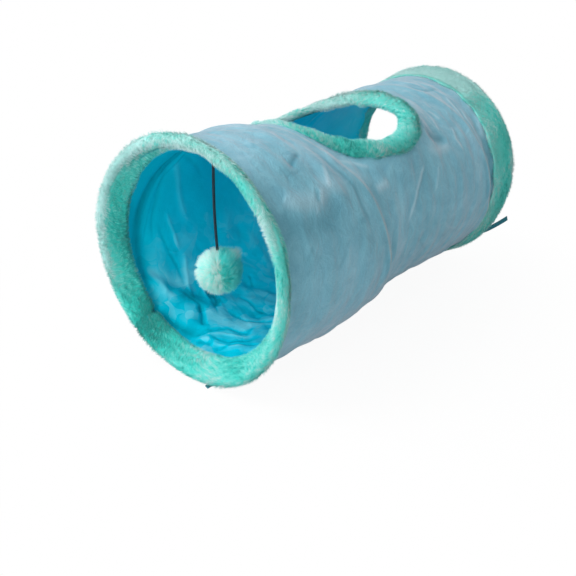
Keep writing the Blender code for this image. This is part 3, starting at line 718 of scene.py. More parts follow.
# The tint of these folds is painted light and shade: painted highlight on folds that catch light, painted
# shade and shadow along the fold by the wire, in hollows and in deep pockets
LINING_FOLDS = {
    "ridges": [
        (5.5, 1.6, -0.75, (-20, -155), (-32, -166), (-45, -173.3), (-63, -189), (-79, -200.5), (-99, -209),
         (-122, -219.3), (-133, -224)),
        (4.5, -1.2, 0.22, (-40, -176), (-65, -153.7), (-86, -141.2), (-100, -130)),
        (3.0, 0.9, -0.28, (-44, -173), (-71, -177.3), (-88, -185.4), (-104, -190)),
        (3.5, 0.8, -0.22, (-42, -168), (-56, -135), (-70, -110)),
        (3.2, 1.0, -0.35, (-88, -179), (-103, -174.5), (-118, -167.9), (-136, -171.8)),
        (3.0, -1.2, 0.3, (-84, -166), (-98, -160), (-112, -158)),
        (3.0, -1.6, 0.45, (-112, -150), (-122, -160), (-132, -168.1), (-139, -170.3)),
        (2.6, -1.5, 0.75, (-124, -158), (-128, -147.7), (-135, -149.8), (-146, -156)),
        (4.2, 2.6, -1.3, (-138, -142), (-142, -144.5), (-145, -143.4), (-148, -145.1), (-153, -155)),
        (4.0, 2.6, -1.3, (-145, -172), (-148, -175), (-152, -177.6), (-159, -189)),
        (2.2, 1.0, -0.6, (-136, -146), (-146, -151), (-158, -161)),
        (5.0, -1.2, 0.75, (-110, -206), (-121, -202.8), (-130, -199.8), (-140, -190)),
        (2.6, 1.6, -0.85, (-158, -212), (-162, -205.6), (-163, -188.5), (-168, -167.4), (-178, -155.7),
         (-177, -137.9), (-180, -120)),
        (2.2, 1.3, -0.7, (-167, -203), (-171, -192.5), (-177, -187.3), (176, -167.7), (174, -145)),
        (2.2, 1.3, -0.7, (-175, -212), (-179, -203.6), (178, -185), (169, -172.2), (163, -160)),
        (2.2, -1.4, 0.6, (-163, -197), (-170, -178), (180, -165), (176, -148)),
        (2.0, -1.2, 0.55, (-172, -203), (179, -194), (172, -180)),
        (4.5, 2.0, -0.9, (-165, -213), (-169, -208), (-174, -203)),
        (5.0, 1.2, -0.6, (-128, -226), (-140, -220), (-151, -211), (-164, -203)),
        (2.4, 1.2, -0.5, (-141, -72), (-146, -78), (-151, -83)),
        (2.4, 1.2, -0.55, (-152, -150), (-157, -143.6), (-170, -136.1), (-178, -118.7), (174, -100)),
        (2.4, 1.2, -0.5, (-150, -112), (-158, -108), (-166, -109), (-174, -101)),
        (2.4, 1.0, -0.45, (-130, -184), (-138, -176), (-146, -172), (-160, -184)),
        (15.0, -0.8, 0.45, (-150, -172), (-162, -158), (-173, -140), (178, -120)),
        (9.0, 0.8, 0.35, (-138, -126), (-146, -118), (-156, -126)),
        (3.0, -0.9, -0.4, (-30, 73), (-42, 72), (-54, 70)),
        (3.0, 0.9, -0.35, (128, -150), (140, -135), (152, -130)),
        (3.0, -1.2, 0.4, (120, -190), (136, -180), (150, -190)),
        (2.6, 1.2, -0.5, (-160, 150), (-170, 120), (178, 90), (170, 60)),
        (2.6, -1.2, 0.5, (150, 170), (163, 150), (176, 155)),
    ],
    "steps": [
        (7.0, 2.2, 0.35, (-147, -157.4), (-136, -170.1), (-127, -191.8), (-116, -207), (-108, -211)),
        (6.0, -1.8, 0.35, (-142, -96), (-148, -90.3), (-154, -79.4), (-161, -68.1), (-168, -60)),
    ],
}


def cover_shape(theta, y):
    r = skin(theta, y)
    rho, phi = hole_place(theta, y)
    free = smooth((rho - 0.098) / 0.03) * (1 - smooth((np.abs(y) - 0.20) / 0.02))
    soft = waves(theta, y, 3, (1, 5), (0.05, 0.14), 16)
    small = waves(theta, y, 5, (1, 4), (0.018, 0.040), 20)
    fine = waves(theta, y, 7, (6, 24), (0.02, 0.09), 24)
    # The folds' tint is painted highlight and painted shade
    out, tint = folds(theta, y, COVER_FOLDS)
    bends = foil(theta, y, 29, 7, (0.9, 1.9), (0.016, 0.040))
    moved = free * (0.0009 * soft + 0.00060 * small + 0.00026 * fine + 0.00072 * bends)
    moved = moved + smooth((rho - 0.096) / 0.012) * out
    # No fold cuts into the film or the wire
    deepest = 0.0021 - 0.0013 * np.minimum(wire_passes(theta, y, 0.0070, 4), 1)
    r = r + np.where(moved < 0, deepest * np.tanh(moved / deepest), moved)
    low = smooth(0.6 - 0.8 * np.cos(theta))
    # Painted highlight: a pale grey line along the cloth's crest over the wire, stronger away from the top
    ridge_highlight = wire_passes(theta, y, 0.0020, 2) * (0.35 + 0.65 * low)
    # Painted shade just in front of that crest, taken off the fold tint
    before = hump(y - wire_y(wrapped(theta)) + 0.0065, 0.0032) * (0.3 + 0.7 * low)
    return r, {"crease_light_and_shade": np.clip(tint - 0.45 * before, -1, 1), "ridge_highlight": ridge_highlight * (rho > 0.10)}


def foil(theta, y, seed=23, count=9, ways=(-1.1, 1.1), pitches=(0.026, 0.062)):
    """Flat facets between sharp bends: triangle waves across the cloth that come and go."""
    pick = np.random.default_rng(seed)
    u = (theta % TURN) * SKIN_R
    total = np.zeros(u.shape)
    for k in range(count):
        way = pick.uniform(*ways)
        pitch = pick.uniform(*pitches)
        drift = 0.16 * waves(theta, y, 200 + seed + k, (1, 6), (0.05, 0.16), 8)
        t = (u * math.cos(way) + y * math.sin(way)) / pitch + pick.uniform() + drift
        mask = smooth(0.35 + 1.1 * waves(theta, y, 300 + seed + k, (2, 7), (0.05, 0.16), 8))
        total += pick.uniform(0.6, 1.0) * pitch / 0.045 * (4 * np.abs(t % 1 - 0.5) - 1) * mask
    return total / 2


def inner(theta, y):
    """Radius of the film inside the cover, which passes inside the wire's casing."""
    near = wire_passes(theta, y, 0.0060, 4)
    return np.minimum(skin(theta, y), 0.1262) - 0.0036 - 0.0024 * np.minimum(near, 1)


def lining_shape(theta, y):
    r = inner(theta, y) - 0.0018
    rho, phi = hole_place(theta, y)
    free = smooth((rho - 0.092) / 0.02) * (1 - smooth((np.abs(y) - 0.218) / 0.016))
    low = smooth(0.5 - 1.0 * np.cos(theta + 0.25))
    soft = waves(theta, y, 11, (2, 7), (0.06, 0.20), 20)
    out, tint = folds(theta, y, LINING_FOLDS)
    bends = foil(theta, y)
    crisp = foil(theta, y, 31, 9, (-1.5, 1.5), (0.016, 0.034))
    r = r - free * (0.0006 * (soft + 1) + 0.0022 * low * (bends + 0.9) + 0.0010 * low * crisp - out)
    end = 0.1182 - 0.0030 * smooth((np.abs(y) - 0.205) / 0.015)
    # Painted light on the lower cloth and on its raised planes, painted shade in its hollows
    tint = tint + low * (0.10 + 0.26 * bends)
    r = np.minimum(np.minimum(r, inner(theta, y) - 0.0007), end)
    # facets is where the satin's painted light and shade of crumpled planes shows: the lower, free cloth
    return r, {"crease_light_and_shade": np.clip(tint, -1, 1), "facets": low * free}


def film_shape(theta, y):
    return inner(theta, y) + 0.0005, {}


FEW = 1.0
FRONT_HEM, REAR_HEM = ANCHOR[1], 0.2150      # the planes that keep to the front and to the rear end
cover_turn = spread(-math.pi, math.pi * (1 - 2 / 380), int(380 * FEW), (-0.1, 2.1), 1.9)
cover_rows = np.linspace(FRONT_HEM, REAR_HEM, int(242 * FEW))
cover = layer("outer_cloth", cover_turn, cover_rows, cover_shape, FRONT_HEM, REAR_HEM)
lining_turn = spread(0, TURN * (1 - 1 / 370), int(370 * FEW), (2.75, 5.3), 2.2)
lining_rows = spread(FRONT_HEM, REAR_HEM, int(246 * FEW), (FRONT_HEM, -0.060), 2.0)
lining = layer("satin_lining", lining_turn, lining_rows, lining_shape, FRONT_HEM, REAR_HEM)
hems = {}
for kind, material, turn, shape, outer_end in (("cover", SUEDE, cover_turn, cover_shape, 0.240),
                                               ("lining", SATIN, lining_turn, lining_shape, 0.236)):
    front_rows = np.linspace(-outer_end, FRONT_HEM, 12)
    rear_rows = np.linspace(REAR_HEM, outer_end - 0.003, 12)
    hems[kind] = [layer(f"{kind}_front_hem", turn, front_rows, shape, None, FRONT_HEM),
                  layer(f"{kind}_rear_hem", turn, rear_rows, shape, REAR_HEM, None)]
    for hem, body in zip(hems[kind], ("front_end", "rear_end")):
        attach(hem, material, body)
film_turn = np.linspace(-math.pi, math.pi, 230, endpoint=False)
film = layer("film_layer", film_turn, np.linspace(-0.234, 0.234, 200), film_shape)
attach(cover, SUEDE, "front_end", "outer_cover", flattens=True)
attach(lining, SATIN, "front_end", "lining", flattens=True)
attach(film, FILM, "front_end", "crinkle_film", flattens=True)

# Spring wire in its casing
WIRE_RADIUS, CASING_RADIUS, CASING_SIDES = 0.0010, 0.0020, 12
WIRE_TURNS = 2 * (HALF - WIRE_START) / PITCH * 360   # degrees from its first pass over the top to its last
RIM_COIL, COIL_STEP = 0.0095, 0.0034                 # place of its turn in a rim, and the step past the crimp
COIL_END, HELIX_START = -141, -108                   # degrees: between them it leads over to the helix


def wire_place(turn):
    """Place along the tunnel at a turn angle in degrees, for the wire's front half."""
    in_rim = RIM_COIL - HALF + COIL_STEP * smooth((turn + 182) / 30)
    low, span = RIM_COIL + COIL_STEP, HELIX_START - COIL_END
    share = (turn - COIL_END) / span
    rise = WIRE_START + PITCH * HELIX_START / 360 - low
    slope = PITCH * span / 360
    lead_in = low + rise * (3 * share ** 2 - 2 * share ** 3) + slope * (share ** 3 - share ** 2) - HALF
    return np.where(turn < COIL_END, in_rim, np.where(turn < HELIX_START, lead_in, wire_y(np.radians(turn))))


def wire_path(first, last, step=4.0):
    """Points of the wire from one turn angle to another, in degrees from the top towards +X."""
    turn = np.arange(first, last + step / 2, step)
    y = np.where(turn > WIRE_TURNS / 2, -wire_place(WIRE_TURNS - turn), wire_place(turn))
    theta = np.radians(turn)
    free = 1 - smooth((np.abs(y) - 0.205) / 0.02)
    return warp(theta, y, WIRE_R + free * (skin(theta, y) - 0.0034 - WIRE_R))


def sleeve(name, node, body, first, second):
    """A crimped sleeve round two passes of the wire, with two dents, along the wire."""
    one, two = wire_path(first, first)[0], wire_path(second, second)[0]
    nearby = wire_path(first - 1, first + 1, 2.0)
    along, across = unit(nearby[1] - nearby[0]), unit(one - two)
    half, up = np.linalg.norm(one - two) / 2, np.cross(along, across)
    stations, sides = np.linspace(-0.004, 0.004, 25), 32
    turn = np.linspace(0, TURN, sides, endpoint=False)
    side = np.sign(np.cos(turn)) * half + np.cos(turn) * 0.0017
    rise = np.sin(turn) * 0.0017
    rings = []
    for wall, order in ((1.0, stations), (0.72, stations[::-1])):
        for t in order:
            dent = 1 - 0.16 * (hump(t - 0.0018, 0.0007) + hump(t + 0.0018, 0.0007))
            rings.append((one + two) / 2 + along * t + across * (side * (0.9 + 0.1 * wall))[:, None]
                         + up * (rise * wall * dent)[:, None])
    made = put(name, np.concatenate(rings), grid_faces(len(rings), sides, True, True))
    attach(made, STEEL, body, node)


wire = tube("helix_wire", wire_path(-510, WIRE_TURNS + 510), WIRE_RADIUS, 8)
casing = tube("wire_tape", wire_path(-118, WIRE_TURNS + 118), CASING_RADIUS, CASING_SIDES, caps=False)
note(casing, "across", np.tile(np.arange(CASING_SIDES) * 0.00105, len(casing.data.vertices) // CASING_SIDES))
attach(wire, STEEL, "front_end", "spring_wire", flattens=True)
attach(casing, TAPE, "front_end", "wire_casing", flattens=True)
sleeve("front_sleeve", "front_crimp", "front_end", -147.0, -507.0)
sleeve("rear_sleeve", "rear_crimp", "rear_end", WIRE_TURNS + 147.0, WIRE_TURNS + 507.0)


# Plush
DENSE = 1.0
PILE_LENGTH, TUFT = 0.0048, 0.0036


def hull(discs, count=720):
    """Closed outline round discs (radius, place, disc radius): points, outward ways, shares and length."""
    turn = np.linspace(0, TURN, count, endpoint=False) + 0.003
    way = np.stack([np.cos(turn), np.sin(turn)], 1)
    discs = np.array(discs)
    best = (way @ discs[:, :2].T + discs[:, 2]).argmax(1)
    points = discs[best, :2] + discs[best, 2:] * way
    points, way = np.vstack([points, points[:1]]), np.vstack([way, way[:1]])
    length = lengths(points)
    return points, way, length / length[-1], length[-1]


class RimSurface:
    """A plush roll round an end. side is -1 at the front and 1 at the rear.

    A point is given by a, its share of a turn from the bottom, and s, its share of the roll's own outline.
    """

    def __init__(self, side, discs, seam, lumps_seed):
        self.side, self.seam, self.seed = side, seam, lumps_seed
        self.points, self.way, self.s, self.length = hull(discs)
        self.centre = self.points[:-1].mean(0)
        self.round = TURN * 0.122

    def pinch(self, theta, s):
        """1 along the seam, which pulls the roll in."""
        if self.seam is None:
            return 0 * theta
        return hump(wrapped(theta - self.seam) * 0.12 + 0.010 * (s - 0.5), 0.0045)

    def inside(self, s):
        """1 on the edge round the opening, 0 on the outer edge."""
        return smooth((self.centre[0] + 0.003 - np.interp(s, self.s, self.points[:, 0])) / 0.009)

    def depth(self, s):
        """Distance from the tunnel's end, before warp."""
        return np.interp(s % 1.0, self.s, self.points[:, 1])

    def trim(self, a, s):
        """Share of the pile's length, less at the hem of the rear band."""
        return 1 - 0.30 * smooth((self.depth(s) - 0.0300) / 0.003)

    def __call__(self, a, s, lift=0.0):
        theta = a * TURN - math.pi
        s = s % 1.0
        r, d = (np.interp(s, self.s, self.points[:, k]) for k in (0, 1))
        nr, nd = (np.interp(s, self.s, self.way[:, k]) for k in (0, 1))
        lump = waves(theta, s * 0.07, self.seed, (4, 26), (0.02, 0.07), 22)
        big = waves(theta, s * 0.07, self.seed + 1, (2, 6), (0.05, 0.2), 12)
        inside = self.inside(s)
        pinch = self.pinch(theta, s) * (0.15 + 0.85 * inside)
        if self.side > 0:
            reach = np.clip((d - 0.016) / 0.0175, 0, None)
            d = d + reach * (0.0112 + 0.0050 * np.cos(theta - 0.2) + 0.0017 * lump)
        r = self.centre[0] + (r - self.centre[0]) * (1 - 0.52 * pinch) - 0.0008 * pinch
        if self.side < 0:
            r = r + 0.0062 * inside * hump(theta + 0.24, 0.62)
        d = self.centre[1] + (d - self.centre[1]) * (1 - 0.22 * pinch)
        lift = lift + 0.00045 * lump + 0.0005 * big
        return warp(theta, self.side * (HALF - d - nd * lift), r + nr * lift)


class HoleSurface:
    """The plush binding round the peep hole, tilted as the cloth sags."""

    def __init__(self, radius, seed):
        self.radius, self.seed = radius, seed
        self.round, self.length = TURN * 0.093, 0.040

    def tip(self, a):
        """1 at the slack front left of the hole, where the binding is thin."""
        return hump(wrapped(a * TURN - math.pi + math.radians(145)), math.radians(38))

    def trim(self, a, s):
        return 1 - 0.40 * self.tip(a)

    def __call__(self, a, s, lift=0.0):
        phi = a * TURN - math.pi
        out_r, in_r = BIND_OUT(phi) - 0.0035, BIND_IN(phi) + 0.0010
        corner = 0.0055 * hump(phi - math.radians(62), math.radians(24))
        tip = self.tip(a)
        rho_in, rho_out = 0.0865 + corner * 0.6 - 0.002 * tip, 0.0995 + corner - 0.0080 * tip
        # A rounded bar between the two edge points
        turn = s * TURN
        mid_rho, mid_r = (rho_in + rho_out) / 2, (out_r + in_r) / 2
        half_rho, half_r = (rho_out - rho_in) / 2, (out_r - in_r) / 2
        size = np.hypot(half_rho, half_r)
        ax, ay = half_rho / size, half_r / size
        lump = waves(phi, s * 0.05, self.seed, (5, 30), (0.02, 0.06), 22)
        wobble = waves(phi, 0 * s, self.seed + 1, (7, 16), (0.02, 0.06), 10)
        swell = self.radius * (1 - 0.34 * tip) + lift + 0.0008 * lump + 0.0007 * wobble
        c = np.cos(turn)
        along, over = np.sign(c) * size * np.abs(c) ** 0.8 + swell * c, swell * np.sin(turn)
        rho, r = mid_rho + ax * along - ay * over, mid_r + ay * along + ax * over
        return warp(rho * np.sin(phi) / WIRE_R, HOLE_Y + rho * np.cos(phi), r)


def roll(name, surface, columns, rows, shade):
    """The plush's closed backing, under its pile."""
    a, s = np.meshgrid(np.arange(columns) / columns, np.arange(rows) / rows, indexing="ij")
    a, s = a.ravel(), s.ravel()
    points = surface(a, s)
    # Painted light and shade from the band's shade function, as on its pile
    tone = np.clip(0.5 + shade(a, s, points), 0, 1)
    return put(name, points, grid_faces(columns, rows, True, True), fibre=np.full(len(a), 0.10), tone=tone)


def cells(a, s, surface, size, seed):
    """Nearest jittered cell centre in (a, s), and its random number."""
    na, ns = max(3, round(surface.round / size)), max(3, round(surface.length / size))
    ia, is_ = np.floor(a * na).astype(int), np.floor(s * ns).astype(int)
    pick = np.random.default_rng(seed)
    jitter, value = pick.uniform(0.1, 0.9, (na, ns, 2)), pick.uniform(0, 1, (na, ns))
    best = np.full(a.shape, 9.0)
    ca, cs, cv = a.copy(), s.copy(), np.zeros(a.shape)
    for da in (-1, 0, 1):
        for ds in (-1, 0, 1):
            ja, js = ia + da, is_ + ds
            j = jitter[ja % na, js % ns]
            pa, ps = (ja + j[:, 0]) / na, (js + j[:, 1]) / ns
            far = np.hypot((pa - a) * surface.round, (ps - s) * surface.length)
            nearer = far < best
            best = np.where(nearer, far, best)
            ca, cs = np.where(nearer, pa, ca), np.where(nearer, ps, cs)
            cv = np.where(nearer, value[ja % na, js % ns], cv)
    return ca, cs, cv


def strands(name, base, way, side, length, width, bend, tone, normal):
    """Fur: slim three-sided spikes, shaded as the tuft that they lie in."""
    tip = base + way * length[:, None] + bend
    other = np.cross(way, side)
    half = width[:, None] * 0.56
    corners = [base + half * (math.cos(k) * side + math.sin(k) * other) for k in (0.4, 2.494, 4.589)]
    points = np.stack([*corners, tip], 1).reshape(-1, 3)
    points[:, 2] = np.maximum(points[:, 2], 0.0002)
    k = np.arange(len(base))[:, None] * 4
    faces = np.concatenate([k + [0, 1, 3], k + [1, 2, 3], k + [2, 0, 3]])
    fibre = np.tile((0.0, 0.0, 0.0, 1.0), len(base))
    made = put(name, points, faces, fibre=fibre, tone=np.repeat(tone, 4))
    round_it = [math.cos(k) * side + math.sin(k) * other for k in np.radians(23 + 60.0 * np.arange(7))]
    shown = []
    for k in (0, 2, 4):
        shown.append(np.stack([unit(0.60 * normal + 0.62 * round_it[j]) for j in (k, k + 2, k + 1)], 1))
    made.data.normals_split_custom_set(np.concatenate(shown).reshape(-1, 3))
    return made


def pile(name, surface, count, width, seed, nap, streak, shade, lean=1.5):
    """Plush on a surface. Its fibres lie over by lean, in ways that wander about nap, and gather in tufts.

    streak gives the cycles round the ring and the spans across it of the strokes of colour.
    """
    pick = np.random.default_rng(seed)
    a, s = pick.uniform(0, 1, count), pick.uniform(0, 1, count)
    step = 0.0008
    p = surface(a, s)
    n = unit(surface(a, s, 0.002) - p)
    ta = unit(surface(a + step / surface.round, s) - p)
    ts = unit(surface(a, s + step / surface.length) - p)
    ca, cs, value = cells(a, s, surface, TUFT, seed + 1)
    angle = a * TURN
    turn = nap + 0.9 * waves(angle, s * 0.07, seed + 2, (2, 12), (0.05, 0.16), 18)
    turn = turn + 0.7 * (value - 0.5)
    over = lean * (1 + 0.22 * waves(angle, s * 0.07, seed + 3, (3, 18), (0.03, 0.12), 16))
    patch = waves(angle, s * 0.07, seed + 4, (2, 12), (0.04, 0.14), 16)
    stroke = waves(angle, s * 0.07, seed + 5, streak[:2], streak[2:], 26)
    nap_way = np.cos(turn)[:, None] * ta + np.sin(turn)[:, None] * ts
    laid = n + over[:, None] * nap_way
    way = unit(laid + pick.normal(0, 0.15, (count, 3)))
    tall = PILE_LENGTH * pick.uniform(0.76, 1.12, count) * (1 + 0.06 * patch) * surface.trim(a, s)
    centre = surface(ca, cs) + unit(laid) * tall[:, None]
    bend = (centre - p - way * tall[:, None]) * (0.12 + 0.20 * value[:, None])
    side = unit(np.cross(way, n) + 0.45 * pick.normal(0, 1, (count, 3)))
    wide = width * pick.uniform(0.7, 1.3, count)
    tone = 0.5 + 0.19 * patch + 0.20 * stroke + 0.20 * (value - 0.5) + pick.normal(0, 0.12, count)
    # shade adds the band's painted light and shade to the random colour
    tone = np.clip(tone + shade(a, s, p), 0, 1)
    tuft = (p - surface(ca, cs)) / TUFT
    normal = unit(n + 0.22 * tuft - 0.12 * nap_way + pick.normal(0, 0.07, (count, 3)))
    return strands(name, p - n * 0.0006, way, side, tall, wide, bend, tone, normal)


front = RimSurface(-1, [(0.1239, 0.0063, 0.0050), (0.1113, 0.0222, 0.0048)], math.radians(-137), 50)
rear = RimSurface(1, [(0.1239, 0.0061, 0.0047), (0.1222, 0.0340, 0.0011), (0.1145, 0.0160, 0.0034)], None, 60)
binding = HoleSurface(0.0036, 70)


def front_shade(a, s, p):
    """Deeper on the left, with painted shade on its inner edge, and painted shadow in and beside the seam's
    fold; painted light on the outer front edge and the top; painted light and shade in spots on the right;
    random blots.
    """
    theta = a * TURN - math.pi
    far = np.hypot(p[:, 0], p[:, 2] - AXIS)
    left = smooth(0.5 - 0.9 * np.sin(theta + 0.35))
    top, bottom = smooth((np.cos(theta) - 0.1) / 0.6), smooth((-np.cos(theta) - 0.2) / 0.6)
    inner_edge, outer = smooth((0.1180 - far) / 0.009), smooth((far - 0.1200) / 0.007)
    off = wrapped(theta - front.seam)
    # Painted shadow in the fold along the seam, with painted shade beside it
    seam = hump(off * 0.12 + 0.009, 0.012) * (0.35 + 0.65 * inner_edge)
    shade_beside_seam = (hump(off * 0.12 + 0.028, 0.018) + hump(off * 0.12 - 0.012, 0.014)) * (1 - outer)
    # Painted light on the outer front edge
    nose = smooth((0.0082 - front.depth(s)) / 0.006) * left * (1 - 0.75 * bottom)
    nose = nose * (1 - 0.95 * hump(off - 0.14, 0.34))
    right_side = (0.26 * hump(theta - 1.66, 0.28) - 0.16 * hump(theta - 2.25, 0.25)
                  - 0.10 * hump(theta - 0.80, 0.30))
    blot = waves(a * TURN, s * 0.07, 91, (3, 14), (0.03, 0.10), 14)
    return (0.02 + 0.28 * top + 0.02 * (1 - left) * (1 - bottom) + 0.02 * bottom + 0.58 * nose + right_side
            - 0.24 * left * inner_edge * (1 - bottom) - 0.10 * left - 1.60 * seam - 0.30 * shade_beside_seam
            + 0.16 * blot * (1 - 0.5 * nose))


def rear_shade(a, s, p):
    """A deep stripe along the middle of the band, paler on both sides of it; painted light at the top, and
    painted shade holding the lit hem to one middling colour.
    """
    depth = rear.depth(s)
    stripe = hump(depth - 0.017, 0.006)
    top = smooth((np.cos(a * TURN - math.pi + 0.14) - 0.48) / 0.42)
    hem = smooth((depth - 0.0300) / 0.003)
    return (0.16 + 0.42 * top - 0.22 * stripe * (1 - 0.9 * top)) * (1 - hem) + 0.22 * hem


def hole_shade(a, s, p):
    """Painted light on its far side, which leaves the near side deeper as painted shade; paler also at its
    front end and on its right edge.
    """
    phi = a * TURN - math.pi
    return (-0.07 + 0.54 * smooth(0.45 - 0.8 * np.cos(phi - math.radians(97)))
            + 0.34 * hump(wrapped(phi - math.radians(175)), math.radians(25))
            + 0.12 * smooth((np.cos(phi - math.radians(62)) - 0.5) / 0.4))


RIM_STREAK, HOLE_STREAK = (16, 48, 0.005, 0.012), (30, 90, 0.008, 0.020)
rim_count, hole_count = int(66000 * DENSE), int(46000 * DENSE)
front_roll = roll("front_rim_roll", front, 360, 40, front_shade)
front_pile = pile("front_rim_pile", front, rim_count, 0.00048, 101, -0.9, RIM_STREAK, front_shade)
rear_roll = roll("rear_rim_roll", rear, 360, 48, rear_shade)
rear_pile = pile("rear_rim_pile", rear, rim_count, 0.00050, 111, 0.9, RIM_STREAK, rear_shade, 1.45)
hole_roll = roll("hole_binding", binding, 260, 32, hole_shade)
hole_pile = pile("hole_binding_pile", binding, hole_count, 0.00046, 121, 1.2, HOLE_STREAK, hole_shade, 1.15)
for backing, fur, node, body in ((front_roll, front_pile, "front_rim", "front_end"),
                                 (rear_roll, rear_pile, "rear_rim", "rear_end"),
                                 (hole_roll, hole_pile, "hole_rim", "front_end")):
    attach(backing, BACKING, body, node, flattens=node == "hole_rim")
    attach(fur, PLUSH, body, flattens=node == "hole_rim")


# Pompom with its knots and loops
BALL_AT, BALL_RADIUS = np.array((POMPOM_X, POMPOM_PLACE, 0.1104)), 0.0160


def ball(a, s):
    """Points of the pompom's core."""
    lon, lat = a * TURN, np.arccos(np.clip(1 - 2 * s, -1, 1))
    way = np.stack([np.sin(lat) * np.cos(lon), np.sin(lat) * np.sin(lon), np.cos(lat)], -1)
    lump = 0.0008 * waves(lon, s * 0.05, 80, (2, 6), (0.02, 0.06), 14)
    return BALL_AT + way * (BALL_RADIUS + lump)[..., None]


def pompom_core():
    columns, rows = 40, 26
    a, s = np.meshgrid(np.arange(columns) / columns, np.linspace(0.004, 0.996, rows), indexing="ij")
    return put("pompom_core", ball(a, s).reshape(-1, 3), grid_faces(columns, rows, wrap_rows=True),
               fibre=np.full(a.size, 0.4), tone=np.full(a.size, 0.75))


def pompom_fur(count, clump_count=300):
    """Fur in clumps, brushed up on the lit side, with a longer tuft at its upper right."""
    pick = np.random.default_rng(131)
    n = unit(pick.normal(0, 1, (count, 3)))
    rightward = n @ unit(np.array((right.x, right.y, 0.10)))
    clumps = unit(pick.normal(0, 1, (clump_count, 3)))
    nearest = (n @ clumps.T).argmax(1)
    clump = clumps[nearest]
    value = pick.uniform(0, 1, clump_count)[nearest]
    crown = unit(np.array((right.x * 0.70, right.y * 0.70, 0.72)))
    tuft = np.exp(-(1 - n @ crown) / 0.07)
    swirl = unit(np.cross(clump, pick.normal(0, 1, (clump_count, 3))[nearest]))
    gust = np.array((right.x * 0.35, right.y * 0.35, 0.80))
    gust = gust - n * (n @ gust)[:, None]
    brushed = smooth(rightward + 0.3)[:, None]
    flow = (1 - brushed) * swirl + brushed * 1.5 * gust
    sweep = (0.30 + 0.55 * brushed) * flow * (1 - 0.7 * tuft[:, None]) + 0.5 * tuft[:, None] * crown
    way = unit(n + sweep + pick.normal(0, 0.14, (count, 3)))
    length = 0.0108 * pick.uniform(0.62, 1.14, count) * (0.88 + 0.22 * value) * (1 + 0.85 * tuft)
    base = BALL_AT + n * BALL_RADIUS
    end = BALL_AT + unit(clump + sweep * 0.3) * 0.0245
    bend = (end - base - way * length[:, None]) * (0.10 + 0.22 * value[:, None])
    side = unit(np.cross(way, n) + 0.4 * pick.normal(0, 1, (count, 3)))
    tone = 0.76 - 0.66 * smooth((rightward - 0.04) / 0.20) * (1 - 0.95 * tuft) + 0.34 * (value - 0.5)
    tone = np.clip(tone + pick.normal(0, 0.16, count), 0, 1)
    normal = unit(n + 0.3 * (n - clump) + pick.normal(0, 0.06, (count, 3)))
    width = 0.00075 * pick.uniform(0.7, 1.3, count)
    return strands("pompom_fur", base, way, side, length, width, bend, tone, normal)


def loop(name, major, minor, height, across, sides):
    """A ring over the pompom, in the plane across +X or across +Y."""
    turn = np.arange(40) / 40 * TURN
    flat = (0 * turn, np.sin(turn), np.cos(turn)) if across == "X" else (np.sin(turn), 0 * turn, np.cos(turn))
    path = np.array((0, POMPOM_PLACE, height)) + major * np.stack(flat, 1)
    return tube(name, path, minor, sides, closed=True)


def knot(name, centre, size=0.0024):
    """A small overhand lump: the cord wound on itself."""
    t = np.linspace(0, 1, 90, endpoint=False) * TURN
    path = np.stack([np.sin(t) + 2 * np.sin(2 * t), np.cos(t) - 2 * np.cos(2 * t), -1.3 * np.sin(3 * t)], 1)
    return tube(name, np.array(centre) + path / 3.0 * (size - 0.0010), 0.0011, 10, closed=True)


core, fur = pompom_core(), pompom_fur(int(17000 * (1)))
tab = loop("loop_ribbon", 0.0030, 0.0006, 0.23936, "X", 8)
note(tab, "across", np.tile(np.arange(8) * 0.0005, 40))
eye = loop("eye_loop", 0.0032, 0.0013, 0.23536, "Y", 12)
eye_knot, end_knot = knot("eye_knot_turns", (0, POMPOM_PLACE, 0.22816)), knot("end_knot_turns", BALL_AT)
attach(core, BACKING, "pompom_hang", "pompom")
attach(fur, BALL, "pompom_hang")
attach(tab, RIBBON, "pompom_mount", "pompom_tab")
attach(eye, BRAID, "pompom_eye", "cord_eye")
attach(eye_knot, BRAID, "pompom_hang", "eye_knot")
attach(end_knot, BRAID, "pompom_hang", "end_knot")


# Floor and light
def blend(tree, share, one, two):
    """Mixes two shaders by a share."""
    node = tree.nodes.new("ShaderNodeMixShader")
    for value, socket in zip((share, one, two), node.inputs):
        tree.links.new(value, socket)
    return node.outputs[0]


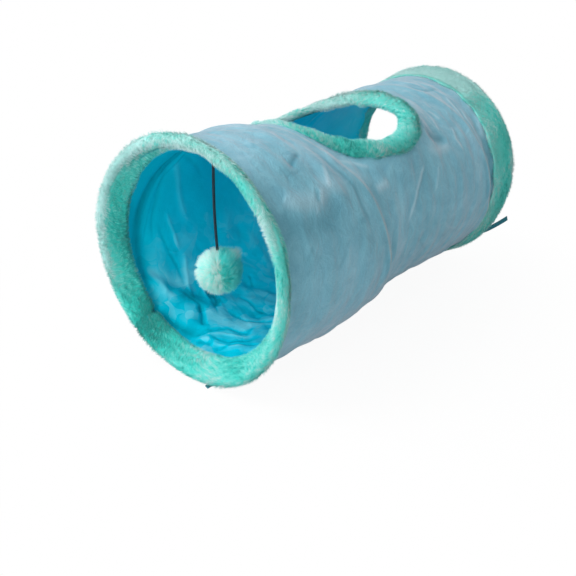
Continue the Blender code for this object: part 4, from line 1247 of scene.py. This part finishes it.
def floor():
    """A pale floor that fades into the white backdrop where the camera sees it."""
    bpy.ops.mesh.primitive_plane_add(size=60, location=(0, 0, -0.0004))
    made = bpy.context.object
    made.name = "floor"
    n = Nodes("white_floor")
    n.finish((0.70, 0.71, 0.72, 1), 0.9)
    seen = n.put("ShaderNodeBsdfDiffuse", Color=(0.95, 0.95, 0.95, 1))
    light = n.put("ShaderNodeEmission", Color=(1, 1, 1, 1), Strength=1.0)
    where = n.put("ShaderNodeTexCoord").outputs["Object"]
    far = n.put("ShaderNodeVectorMath", operation="LENGTH")
    n.join(far.inputs[0], where)
    share = n.ramp(n.math("MULTIPLY", far.outputs["Value"], 0.5), (0.06, 0.94), (0.24, 1.0), smoothly=True)
    path = n.put("ShaderNodeLightPath")
    looked_at = n.math("MAXIMUM", path.outputs["Is Camera Ray"], path.outputs["Is Glossy Ray"])
    shown = blend(n.tree, share, seen.outputs[0], light.outputs[0])
    n.join(n.out.inputs["Surface"], blend(n.tree, looked_at, n.shader.outputs[0], shown))
    made.data.materials.append(n.material)


def world():
    """A pale blue room for light, and white where the camera sees it."""
    made = bpy.data.worlds.new("studio")
    scene.world = made
    made.use_nodes = True
    tree = made.node_tree
    tree.nodes.clear()
    out, path = tree.nodes.new("ShaderNodeOutputWorld"), tree.nodes.new("ShaderNodeLightPath")
    room, backdrop = tree.nodes.new("ShaderNodeBackground"), tree.nodes.new("ShaderNodeBackground")
    room.inputs["Color"].default_value, room.inputs["Strength"].default_value = (0.88, 0.98, 1.0, 1), 0.42
    backdrop.inputs["Color"].default_value = (1, 1, 1, 1)
    mixed = blend(tree, path.outputs["Is Camera Ray"], room.outputs[0], backdrop.outputs[0])
    tree.links.new(mixed, out.inputs["Surface"])


def softbox(name, at, target, size, watts):
    lamp = bpy.data.lights.new(name, "AREA")
    lamp.shape, lamp.size, lamp.energy, lamp.color = "SQUARE", size, watts, (1.0, 0.955, 0.965)
    made = bpy.data.objects.new(name, lamp)
    made.location = at
    made.rotation_euler = (Vector(target) - Vector(at)).to_track_quat("-Z", "Y").to_euler()
    scene.collection.objects.link(made)


floor()
world()
softbox("key", (-0.80, -1.05, 1.65), (0, 0, 0.12), 1.1, 29)
softbox("front_fill", (0.40, -2.10, 0.75), (0, -0.1, 0.12), 1.0, 19)
softbox("back_fill", (0.70, 1.90, 1.30), (0, 0.1, 0.12), 1.2, 4)
scene.view_settings.view_transform = "Standard"
